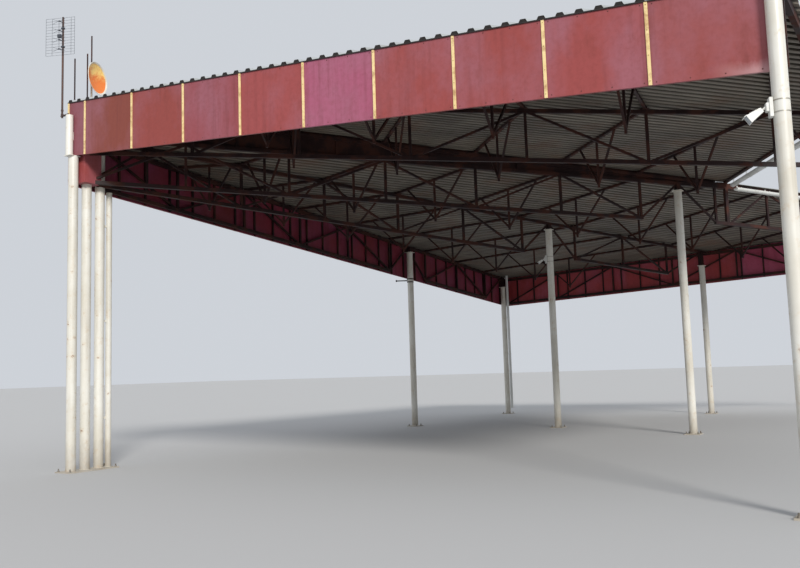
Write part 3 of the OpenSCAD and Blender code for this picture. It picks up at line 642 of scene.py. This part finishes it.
# Feet: nuts on studs, and a weld bead round each tube

def column_line(node):
    """The centre of a column in plan and its top, from the frame."""
    low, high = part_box(node)
    return Vector(((low.x + high.x) / 2, (low.y + high.y) / 2)), high.z


def square(centre, half, z):
    """The four corners of a square round a centre in plan."""
    return [Vector((centre.x + a * half, centre.y + b * half, z)) for a in (-1, 1) for b in (-1, 1)]


def foot_spots():
    spots = [spot for node in COLUMNS for spot in square(column_line(node)[0], BOLT_HALF, FOOT_T)]
    low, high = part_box("hub_base")
    inset = 0.045
    spots += [Vector((x, y, FOOT_T)) for x in (low.x + inset, high.x - inset)
              for y in (low.y + inset, high.y - inset)]
    return spots


def anchor_studs(finish):
    shape = Shape()
    radius, tip_radius, low, high, tip = 0.0115, 0.008, 0.02, 0.048, 0.0515
    for spot in foot_spots():
        shape.rod(spot + UP * low, spot + UP * high, radius, 10)
        shape.rod(spot + UP * high, spot + UP * tip, radius, 10, tip_radius)
    finish_shape("anchor_studs", shape, finish, 0.7)


def weld_beads(finish):
    shape = Shape()
    bead = [(0.0, 0.0), (0.008, 0.0), (0.006, 0.005), (0.0, 0.008)]
    rings = [(*column_line(node)[0], COL_D) for node in COLUMNS] + list(HUB_TUBES)
    for x, y, across in rings:
        shape.sweep_ring(upright(x, y, FOOT_T), across / 2 - 0.001, bead, 40)
    for node in COLUMNS[1:]:
        centre, top = column_line(node)
        place = upright(centre.x, centre.y, top - 0.012) @ Matrix.Rotation(pi, 4, "X")
        shape.sweep_ring(place, COL_D / 2 - 0.001, bead, 40)
    finish_shape("weld_beads", shape, finish, 0.9)


def cap_spots():
    """Bolts at the corners of each cap plate."""
    tops = [column_line(node) for node in COLUMNS[1:]]
    return [(spot, UP) for centre, top in tops for spot in square(centre, CAP_HALF - 0.022, top)]


# Fascias: screws, rivets, edge strips and rib closers

class Side:
    """One side of the roof: a run along its edge, seen from outside."""

    def __init__(self, level, start, along, out, length, battens):
        self.level, self.start, self.along, self.out = level, Vector(start), Vector(along), Vector(out)
        self.length, self.battens = length, battens

    def spot(self, run, drop, proud):
        p = self.start + self.along * run + self.out * proud
        return Vector((p.x, p.y, self.level(*(self.start + self.along * run)) - drop))


def batten_runs(length, corner):
    count = int((length - 0.3 - FIRST_W) / PANEL_W) + 1
    return ([0.02] if corner else []) + [FIRST_W + i * PANEL_W for i in range(count)]


NEAR = Side(level_right, (0, 0), (1, 0), (0, -1), FASCIA_END, batten_runs(FASCIA_END, True))
LEFT = Side(level_left, (0, 0), (0, 1), (-1, 0), DEPTH_Y - 0.008, batten_runs(DEPTH_Y - 0.008, False))
BACK = Side(level_left, (0, DEPTH_Y), (1, 0), (0, 1), BACK_LEN, batten_runs(BACK_LEN, True))


def batten_screws(side):
    return [(side.spot(run, drop, BATTEN_T), Vector((*side.out, 0)))
            for run in side.battens for drop in (0.05, 0.355, 0.66, 0.968)]


def panel_rivets(side):
    """Rivets along the top and the bottom of every panel, clear of the battens."""
    seams = [0.0] + [run for run in side.battens if run > 0.1] + [side.length]
    margin, spacing = 0.07, 0.38
    spots = []
    for left, right in zip(seams, seams[1:]):
        inner = right - left - 2 * margin
        count = max(2, round(inner / spacing) + 1)
        spots += [(side.spot(left + margin + inner * i / (count - 1), drop, 0.0), Vector((*side.out, 0)))
                  for i in range(count) for drop in (0.045, 0.985)]
    return spots


def edge_strip(shape, side, proud):
    """Dark angle that hides the panels' top edge, right under the deck. Its dark tone stands for the
    deck's edge and a painted shadow under it.
    """
    steps = 12
    drop, lift = 0.016, 0.0004
    for i in range(steps):
        a, b = side.length * i / steps, side.length * (i + 1) / steps
        corners = [side.spot(run, level, reach) for level in (drop, lift)
                   for run, reach in ((a, 0.0), (b, 0.0), (b, proud), (a, proud))]
        shape.shell(corners)


def rib_closers(shape, level, direction, start, along, inward, length):
    """Fillers in the open ribs over a fascia, dark both as fillers and as the painted shade of the open
    rib ends. A rib crosses the edge at a slant.
    """
    across = heading(direction)[1]
    start, along, inward = Vector(start), Vector(along), Vector(inward)
    profile = ((0.0, 0.0), (RIB_SIDE, RIB_H), (RIB_SIDE + RIB_TOP, RIB_H), (RIB_TOP + 2 * RIB_SIDE, 0.0))
    foot = RIB_PITCH - RIB_TOP - 2 * RIB_SIDE
    rate = along.dot(across)
    span = sorted((start.dot(across), (start + along * length).dot(across)))
    for i in range(floor((span[0] - RIB_PITCH) / RIB_PITCH), ceil(span[1] / RIB_PITCH) + 1):
        runs, spots = [], []
        for depth in (0.002, 0.016):
            base = start + inward * depth
            for v, h in profile:
                runs.append((i * RIB_PITCH + foot + v - base.dot(across)) / rate)
                spots.append(on_deck(level, base + along * runs[-1], h * 0.985))
        if min(runs) > 0.0 and max(runs) < length:
            shape.shell(spots)


# Roof: screws where the purlins and the fascias cross the ribs, and cleats at the purlin ends

def purlin_lines():
    """Ends of every purlin, with the wing it lies in."""
    bays = ((level_right, RIB_RIGHT, 0.0, RAY_FIRST, 6, 0.0, NODE_FIRST),
            (level_right, RIB_RIGHT, RAY_FIRST, RAY_SECOND, 6, NODE_FIRST, NODE_SECOND),
            (level_left, RIB_LEFT, RAY_SECOND, RAY_THIRD, 7, NODE_SECOND, NODE_THIRD),
            (level_left, RIB_LEFT, RAY_THIRD, RAY_LEFT, 9, NODE_THIRD, NODE_LEFT))
    lines = []
    for level, ribs, low_ray, high_ray, count, low_shift, high_shift in bays:
        for i in range(1, count + 1):
            if i * PANEL + min(low_shift, high_shift) > 0.9:
                lines.append((level, ribs, on_ray(low_ray, i * PANEL + low_shift),
                              on_ray(high_ray, i * PANEL + high_shift)))
    return lines


def rib_crossings(level, ribs, a, b):
    """Screws on the rib tops along a line, at each rib's middle."""
    across = heading(ribs)[1]
    low, high = a.dot(across), b.dot(across)
    middle = RIB_PITCH - RIB_SIDE - RIB_TOP / 2
    spots = []
    first = ceil((min(low, high) - middle) / RIB_PITCH)
    last = floor((max(low, high) - middle) / RIB_PITCH)
    for i in range(first, last + 1):
        p = a.lerp(b, (i * RIB_PITCH + middle - low) / (high - low))
        spots.append((on_deck(level, p, RIB_H + SHEET_T), UP))
    return spots


def roof_screw_spots():
    inset = 0.05
    edges = ((level_right, RIB_RIGHT, (inset, inset), (NEAR_LEN - inset, inset)),
             (level_left, RIB_LEFT, (inset, 1.2), (inset, DEPTH_Y - inset)),
             (level_left, RIB_LEFT, (inset, DEPTH_Y - inset), (BACK_LEN - inset, DEPTH_Y - inset)))
    lines = purlin_lines() + [(level, ribs, Vector(a), Vector(b)) for level, ribs, a, b in edges]
    return [spot for line in lines for spot in rib_crossings(*line)]


def purlin_cleats(finish):
    """Angle plates on both sides of each purlin end, down on the truss chord."""
    shape = Shape()
    near_end, far_end = 0.03, 0.11
    for level, _, a, b in purlin_lines():
        run = b - a
        if run.length < 0.5:
            continue
        for end, inward in ((a, run), (b, -run)):
            angle = atan2(inward.y, inward.x)
            for side in (-1, 1):
                for wide, low, high in ((0.006, -0.046, -0.008), (0.045, -PURLIN, -PURLIN + 0.006)):
                    near, far = sorted((side * PURLIN / 2, side * (PURLIN / 2 + wide)))
                    shape.on_wing(level, end, angle, (near_end, near, low), (far_end, far, high))
    finish_shape("purlin_cleats", shape, finish)


# Rainwater: joint sleeves on the gutters, sockets and clips on the downpipe

def gutter_line(level, start, along, first, length):
    """The place of a gutter's cross-section at a distance along it."""
    run, beside = heading(along)
    depth = CHORD / 2 + GUTTER_R + 0.006
    hang = 0.105

    def at(s):
        return on_deck(level, start + run * (first + s) - beside * depth)

    def place(s):
        spot = at(s)
        axis = (at(s + 1) - spot).normalized()
        out = Vector((beside.x, beside.y, 0))
        up = axis.cross(out).normalized()
        turn = Matrix((out, up, axis)).transposed().to_4x4()
        return Matrix.Translation(spot - UP * hang) @ turn

    return place, length


SHORT_EAVE = Vector((APEX.x - RIGHT_LINE, APEX.y - RIGHT_Y))
INNER_EAVE = Vector((BACK_LEN - EAVE_LAP - CHORD - APEX.x, BACK_LINE - APEX.y))


def gutter_sleeves(finish):
    """A sleeve about every two metres, under the half-round gutters."""
    shape = Shape()
    corner = Vector((RIGHT_LINE, RIGHT_Y))
    short_turn = atan2(SHORT_EAVE.y, SHORT_EAVE.x)
    inner_turn = atan2(INNER_EAVE.y, INNER_EAVE.x)
    lines = (gutter_line(level_right, corner, short_turn, 0.06, SHORT_EAVE.length - 0.28),
             gutter_line(level_left, APEX, inner_turn, 0.22, INNER_EAVE.length - 0.42))
    for place, length in lines:
        count = int(length / 2.0)
        for i in range(1, count + 1):
            s = length * i / (count + 1) + 0.16
            shape.collar(place(s), GUTTER_R, 0.0003, 0.004, 0.07, 20, pi, 2 * pi)
    finish_shape("gutter_sleeves", shape, finish, 0.7)


def downpipe_sockets(finish):
    low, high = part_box("downpipe")
    x, y = high.x - DOWN_D / 2, (low.y + high.y) / 2
    shape = Shape()
    clips, sockets = ((0.7, 0.04), (2.1, 0.04), (3.4, 0.04)), ((1.45, 0.09), (2.9, 0.09))
    for z, tall in clips + sockets:
        shape.collar(upright(x, y, z), DOWN_D / 2, 0.0003, 0.005, tall, 28)
    finish_shape("downpipe_sockets", shape, finish, 0.7)


# Floodlights on two bands

LAMP_TILT = radians(34)


def floodlight(name, column, node, azimuth, lower, size):
    """Replaces a lamp: bands with bolted lugs, a back plate, a junction box, a neck and a finned head."""
    centre, low = column_line(column)[0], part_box(node)[0]
    base = upright(centre.x, centre.y, low.z - lower, radians(azimuth))
    face = COL_D / 2
    plate_out, box_out, neck_out = face + 0.04, face + 0.072, face + 0.088
    shape = Shape()
    shape.block((face + 0.002, -0.045, -0.005), (plate_out, 0.045, 0.205), base, 0.003)
    shape.block((plate_out, -0.036, 0.055), (box_out, 0.036, 0.15), base, 0.004)
    shape.rod((box_out, 0, 0.1), (neck_out, 0, 0.098), 0.016, 12, place=base)
    head = base @ upright(neck_out, 0, 0.096) @ Matrix.Rotation(LAMP_TILT, 4, "Y")
    shape.rod((0, 0, 0), (0.03, 0, 0), 0.011, 12, place=head)
    # The head widens from its back at a to its front at b
    a, b = 0.028, 0.028 + 0.17 * size
    w0, w1, h0, h1 = 0.030 * size, 0.058 * size, 0.026 * size, 0.046 * size
    shape.shell([head @ Vector(c) for c in (
        (a, -w0, -h0), (b, -w1, -h1), (b, w1, -h1), (a, w0, -h0),
        (a, -w0, h0), (b, -w1, h1), (b, w1, h1), (a, w0, h0))])
    for i in range(7):
        share = 0.12 + 0.1 * i
        x, rise = a + (b - a) * share, h0 + (h1 - h0) * share
        half = w0 + (w1 - w0) * share - 0.004
        shape.block((x, -half, rise - 0.002), (x + 0.004, half, rise + 0.008), head)
    shape.block((b - 0.004, -w1 - 0.006, -h1 - 0.004), (b + 0.006, w1 + 0.006, -h1 + 0.004), head)
    shape.block((b - 0.004, -w1 - 0.006, h1 - 0.004), (b + 0.03, w1 + 0.006, h1 + 0.003), head)
    for side in (-1, 1):
        shape.block((b - 0.004, side * w1 - 0.004, -h1), (b + 0.006, side * w1 + 0.004, h1), head)
    piece = finish_shape(name, shape, lamp_coat)
    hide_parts(node)
    pane = Shape()
    pane.block((b, -w1 + 0.004, -h1 + 0.004), (b + 0.003, w1 - 0.004, h1 - 0.004), head)
    finish_shape(name + "_glass", pane, lamp_glass)
    band = Shape()
    for z in (0.03, 0.16):
        band.collar(base @ upright(0, 0, z), face, 0.0006, 0.0028, 0.013, 40)
        lug = base @ Matrix.Rotation(radians(215), 4, "Z")
        band.lug_pair(lug, face, 0.022, 0.002, 0.004, z - 0.003, z + 0.016)
        bolt, rise = face + 0.013, z + 0.0065
        band.rod((bolt, -0.016, rise), (bolt, 0.016, rise), 0.004, place=lug)
    finish_shape(name + "_bands", band, band_steel, 0.6)


def arm_bolts(finish):
    """Closing bolts on the two bands of the left column's arm."""
    centre, low = column_line("column_left")[0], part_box("arm_left")[0]
    shape = Shape()
    arm_turn, reach = 213, COL_D / 2 + 0.005
    for z in (low.z + 0.015, low.z + 0.105):
        for turn in (60, 240):
            lug = upright(centre.x, centre.y, z, radians(arm_turn + turn))
            shape.lug_pair(lug, reach, 0.024, 0.003, 0.005, -0.014, 0.014)
            bolt = reach + 0.013
            shape.rod((bolt, -0.02, 0), (bolt, 0.02, 0), 0.005, place=lug)
    finish_shape("arm_bolts", shape, finish)


# Aerial and dish

def aerial_mast(finish):
    """The mast, its arm to the hub and the two clamps of the arm."""
    arm_z = MAST_FOOT + 0.022
    post = Shape()
    post.rod((MAST_X, MAST_Y, MAST_FOOT), (MAST_X, MAST_Y, MAST_TIP), MAST_R, 16)
    post.rod((MAST_X, MAST_Y, MAST_TIP), (MAST_X, MAST_Y, MAST_TIP + 0.012), 0.02, 16, 0.014)
    arm_start, arm_end = MAST_X - 0.03, MAST_X + 0.216
    post.block((arm_start, MAST_Y - 0.015, arm_z), (arm_end, MAST_Y + 0.015, arm_z + 0.005))
    post.block((arm_start, MAST_Y - 0.015, arm_z), (arm_end, MAST_Y - 0.011, arm_z + 0.025))
    for z in (6.545, 6.62):
        post.collar(upright(MAST_X, MAST_Y, z), MAST_R, 0.0, 0.006, 0.02, 16)
    finish_shape("aerial_mast", post, finish, 0.7)


def aerial_grid(finish):
    """Replaces the aerial: a grid of rods, four bow ties in front of it, a box and two clamps."""
    along = Vector((cos(GRID_TURN), sin(GRID_TURN), 0))
    front = Vector((along.y, -along.x, 0))
    middle = Vector((MAST_X, MAST_Y, 0))
    left_end, right_end = along * -0.328, along * 0.25
    grid = Shape()

    def turned_block(low, high, spot, bevel):
        grid.block(low, high, upright(*spot, GRID_TURN), bevel)

    for i in range(GRID_ROWS):
        row = middle + front * 0.024 + UP * (GRID_LOW + i * GRID_STEP)
        grid.rod(row + left_end, row + right_end, 0.0022, 6)
    for reach in (left_end, along * -0.203, along * 0.0, along * 0.18, right_end):
        spot = middle + reach + front * 0.028
        grid.rod(spot + UP * GRID_LOW, spot + UP * (GRID_LOW + GRID_STEP * (GRID_ROWS - 1)), 0.0028, 6)
    tie_low, tie_step, tie_out = GRID_LOW + 0.09, 0.18, front * 0.1
    for k in range(4):
        z = tie_low + tie_step * k
        hub = middle - along * 0.02 + tie_out + UP * z
        for side in (-1, 1):
            for rise in (-0.045, 0.045):
                grid.rod(hub + along * side * 0.012, hub + along * side * 0.125 + UP * rise, 0.0026, 6)
        grid.rod(middle + front * 0.02 + UP * z, hub, 0.006, 8)
        turned_block((-0.014, -0.008, -0.012), (0.014, 0.008, 0.012), hub, 0.002)
    for side in (-1, 1):
        line = middle - along * (0.02 - side * 0.01) + tie_out
        grid.rod(line + UP * tie_low, line + UP * (tie_low + 3 * tie_step), 0.0018, 6)
    turned_block((-0.045, -0.02, -0.032), (0.03, 0.02, 0.032), middle + front * 0.105 + UP * 8.03, 0.004)
    for z in (7.86, 8.22):
        turned_block((-0.03, -0.026, -0.014), (0.03, 0.026, 0.014), middle + UP * z, 0.003)
    piece = finish_shape("aerial_grid", grid, finish, 0.7)
    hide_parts("antenna_mast")


DISH_X, DISH_Y, DISH_RISE, DISH_TURN, DISH_TILT = 0.465, 0.157, 0.39, radians(20), radians(87)
DISH_DECK = level_right(DISH_X, DISH_Y) + RIB_H + SHEET_T
DISH_PLACE = upright(DISH_X, DISH_Y, DISH_DECK + DISH_RISE, DISH_TURN) @ Matrix.Rotation(DISH_TILT, 4, "Y")


def dish_bowl(face_finish):
    """Replaces the dish: a hollow bowl with a boss at its middle."""
    bowl = Shape()
    count = 12
    wall = 0.004
    profile = [(DISH_R * max(i, 0.5) / count, DISH_OUT + DISH_DEEP * (i / count) ** 2)
               for i in range(count + 1)]
    section = profile + [(r, z + wall) for r, z in reversed(profile)]
    bowl.sweep_ring(DISH_PLACE, 0.0, section, 64)
    bowl.rod((0, 0, DISH_OUT - 0.002), (0, 0, DISH_OUT + 0.006), 0.018, 16, place=DISH_PLACE)
    piece = finish_shape("dish_bowl", bowl, face_finish, 0.9)
    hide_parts("dish")


def dish_trim(rim_finish, steel_finish):
    """A rolled rim round the bowl, the bracket behind it, and its mast on a strip over the ribs."""
    rim = Shape()
    edge = DISH_PLACE @ upright(0, 0, DISH_OUT + DISH_DEEP)
    roll = ((-0.024, -0.0148), (0.002, -0.002), (0.0055, 0.003), (0.002, 0.0085), (-0.024, -0.0065))
    rim.sweep_ring(edge, DISH_R, roll, 72)
    finish_shape("dish_rim", rim, rim_finish, 0.9)
    back = Shape()
    for side in (-1, 1):
        back.block((-0.07, side * 0.034 - 0.003, -0.012), (0.07, side * 0.034 + 0.003, 0.04), DISH_PLACE)
    back.block((-0.07, -0.037, 0.034), (0.07, 0.037, 0.0395), DISH_PLACE)
    back.rod((0, -0.046, 0.006), (0, 0.046, 0.006), 0.006, place=DISH_PLACE)
    top_z, strip_z = DISH_PLACE.translation.z, RIB_H + SHEET_T
    mast_r, mast_foot = 0.017, DISH_DECK + 0.008
    back.rod((DISH_X, DISH_Y, mast_foot), (DISH_X, DISH_Y, top_z + 0.004), mast_r, 20)
    back.on_wing(level_right, (DISH_X, DISH_Y), RIB_RIGHT + pi / 2, (-0.1445, -0.025, strip_z),
                 (0.1445, 0.025, strip_z + 0.008))
    for z, height in ((mast_foot, 0.02), (top_z - 0.04, 0.03), (top_z - 0.1, 0.03)):
        back.collar(upright(DISH_X, DISH_Y, z), mast_r, 0.0, 0.006, height, 20)
    finish_shape("dish_stand", back, steel_finish, 0.6)


bolt_grey = plain_finish("bolt_zinc_grey", 0.45, 0.6, 90, (138, 134, 126), (110, 92, 76))
screw_yellow = plain_finish("screw_head_yellow", 0.5, 0.0, 120, (196, 172, 112), (132, 96, 62))
rivet_red = plain_finish("rivet_dull_red", 0.55, 0.0, 120, (104, 52, 48), (70, 42, 38))
roof_screw_grey = plain_finish("roof_screw_grey", 0.5, 0.4, 120, (120, 118, 112), (84, 66, 52))
weld_white = plain_finish("weld_painted_white", 0.5, 0.0, 50, (196, 190, 176), (140, 96, 64))
# The edge strips' dark tone is the deck's edge and a painted shadow under it
edge_and_shadow_dark = plain_finish("edge_strip_and_shadow_dark", 0.6, 0.1, 40, (40, 34, 34), (58, 48, 44))
# The closers' dark tone is partly their own and partly painted shade of the open rib ends
closer_and_shade_dark = plain_finish("rib_closer_and_shade_dark", 0.9, 0.0, 60, (34, 31, 30), (48, 44, 42))
lamp_coat = plain_finish("floodlight_white", 0.4, 0.0, 40, (222, 222, 218), (186, 182, 170))
lamp_glass = plain_finish("floodlight_glass", 0.12, 0.0, 8, (150, 158, 164), (130, 138, 146))
band_steel = plain_finish("band_galvanised", 0.4, 0.5, 80, (176, 172, 162), (132, 112, 88))
aerial_steel = plain_finish("mast_weathered_steel", 0.6, 0.2, 40, (78, 62, 58), (104, 66, 48))
grid_zinc = plain_finish("grid_dull_zinc", 0.5, 0.3, 60, (72, 76, 84), (44, 46, 52))
rim_white = plain_finish("dish_rim_white", 0.45, 0.0, 40, (226, 222, 210), (190, 176, 150))

fasteners("anchor_nuts", [(spot, UP) for spot in foot_spots()], bolt_grey,
          head=0.019, top=0.018, height=0.018, washer=0.024, washer_height=0.004)
anchor_studs(bolt_grey)
weld_beads(weld_white)
fasteners("cap_bolts", cap_spots(), bolt_grey,
          head=0.011, top=0.0105, height=0.01, washer=0.015, washer_height=0.002)
fasteners("batten_screws", batten_screws(NEAR) + batten_screws(LEFT), screw_yellow,
          head=0.0055, top=0.004, height=0.004, washer=0.008, washer_height=0.0012, sides=8)
rivets = panel_rivets(NEAR) + panel_rivets(LEFT) + panel_rivets(BACK)
fasteners("panel_rivets", rivets, rivet_red,
          head=0.0065, top=0.003, height=0.004, washer=0.009, washer_height=0.001, sides=8)
strips = Shape()
for side, proud in ((NEAR, 0.015), (LEFT, 0.015), (BACK, 0.0118)):
    edge_strip(strips, side, proud)
finish_shape("edge_strips", strips, edge_and_shadow_dark)
closers = Shape()
rib_closers(closers, level_right, RIB_RIGHT, (0, 0), (1, 0), (0, 1), NEAR_LEN)
# The left side's fillers start past the lap
rib_closers(closers, level_left, RIB_LEFT, (0, 0.95), (0, 1), (1, 0), DEPTH_Y - 0.96)
rib_closers(closers, level_left, RIB_LEFT, (0, DEPTH_Y), (1, 0), (0, -1), BACK_LEN)
finish_shape("rib_closers", closers, closer_and_shade_dark)
fasteners("roof_screws", roof_screw_spots(), roof_screw_grey,
          head=0.006, top=0.0055, height=0.006, washer=0.0095, washer_height=0.002)
purlin_cleats(brown)
gutter_sleeves(gutter_coat)
downpipe_sockets(gutter_coat)
floodlight("floodlight_near", "column_near", "lamp_near", 202, 0.035, 1.0)
floodlight("floodlight_middle", "column_middle", "lamp_middle", 213, 0.0, 0.73)
arm_bolts(aerial_steel)
aerial_mast(aerial_steel)
aerial_grid(grid_zinc)
dish_bowl(orange)
dish_trim(rim_white, band_steel)

# Floor, camera and light

REACH = 260
floor_mesh = bpy.data.meshes.new("floor")
floor_mesh.from_pydata([(x * REACH, y * REACH, 0) for x, y in ((-1, -1), (1, -1), (1, 1), (-1, 1))],
                       [], [(0, 1, 2, 3)])
floor_body = linked("floor", floor_mesh)
floor_finish = bpy.data.materials.new("floor_pale")
floor_finish.use_nodes = True
floor_shader = floor_finish.node_tree.nodes["Principled BSDF"]
for socket_name, value in (("Base Color", (0.5, 0.5, 0.5, 1)), ("Roughness", 0.9),
                           ("Specular IOR Level", 0.1)):
    floor_shader.inputs[socket_name].default_value = value
floor_mesh.materials.append(floor_finish)

# The camera stands at eye height, looks a little up and is rolled a little
EYE = (13.395, -9.528, 1.6)
ahead = Vector((-0.5417, 0.8406, 0.0)).normalized()
tilt, roll = radians(5.956), -0.0313
forward = ahead * cos(tilt) + UP * sin(tilt)
flat_right = Vector((ahead.y, -ahead.x, 0.0))
flat_up = flat_right.cross(forward).normalized()
right = flat_right * cos(roll) + flat_up * sin(roll)
up = right.cross(forward).normalized()
camera = bpy.data.cameras.new("camera")
camera.lens = 37.8
camera.sensor_width = 36.0
camera.sensor_fit = "HORIZONTAL"
camera.clip_end = 600
camera_body = linked("camera", camera)
turn = Matrix((right, up, -forward)).transposed().to_4x4()
camera_body.matrix_world = Matrix.Translation(EYE) @ turn
bpy.context.scene.camera = camera_body

sun = bpy.data.lights.new("soft_sun", "SUN")
sun.energy = 2.9
sun.angle = radians(14)
sun.color = (1.0, 0.97, 0.92)
sun_body = linked("soft_sun", sun)
sun_body.rotation_euler = Vector((-0.62, 0.56, -0.44)).to_track_quat("-Z", "Y").to_euler()

world = bpy.data.worlds.new("studio")
world.use_nodes = True
bpy.context.scene.world = world
back = world.node_tree.nodes["Background"]
back.inputs["Color"].default_value = (0.82, 0.86, 0.92, 1)
back.inputs["Strength"].default_value = 0.75
bpy.context.scene.view_settings.view_transform = "Standard"
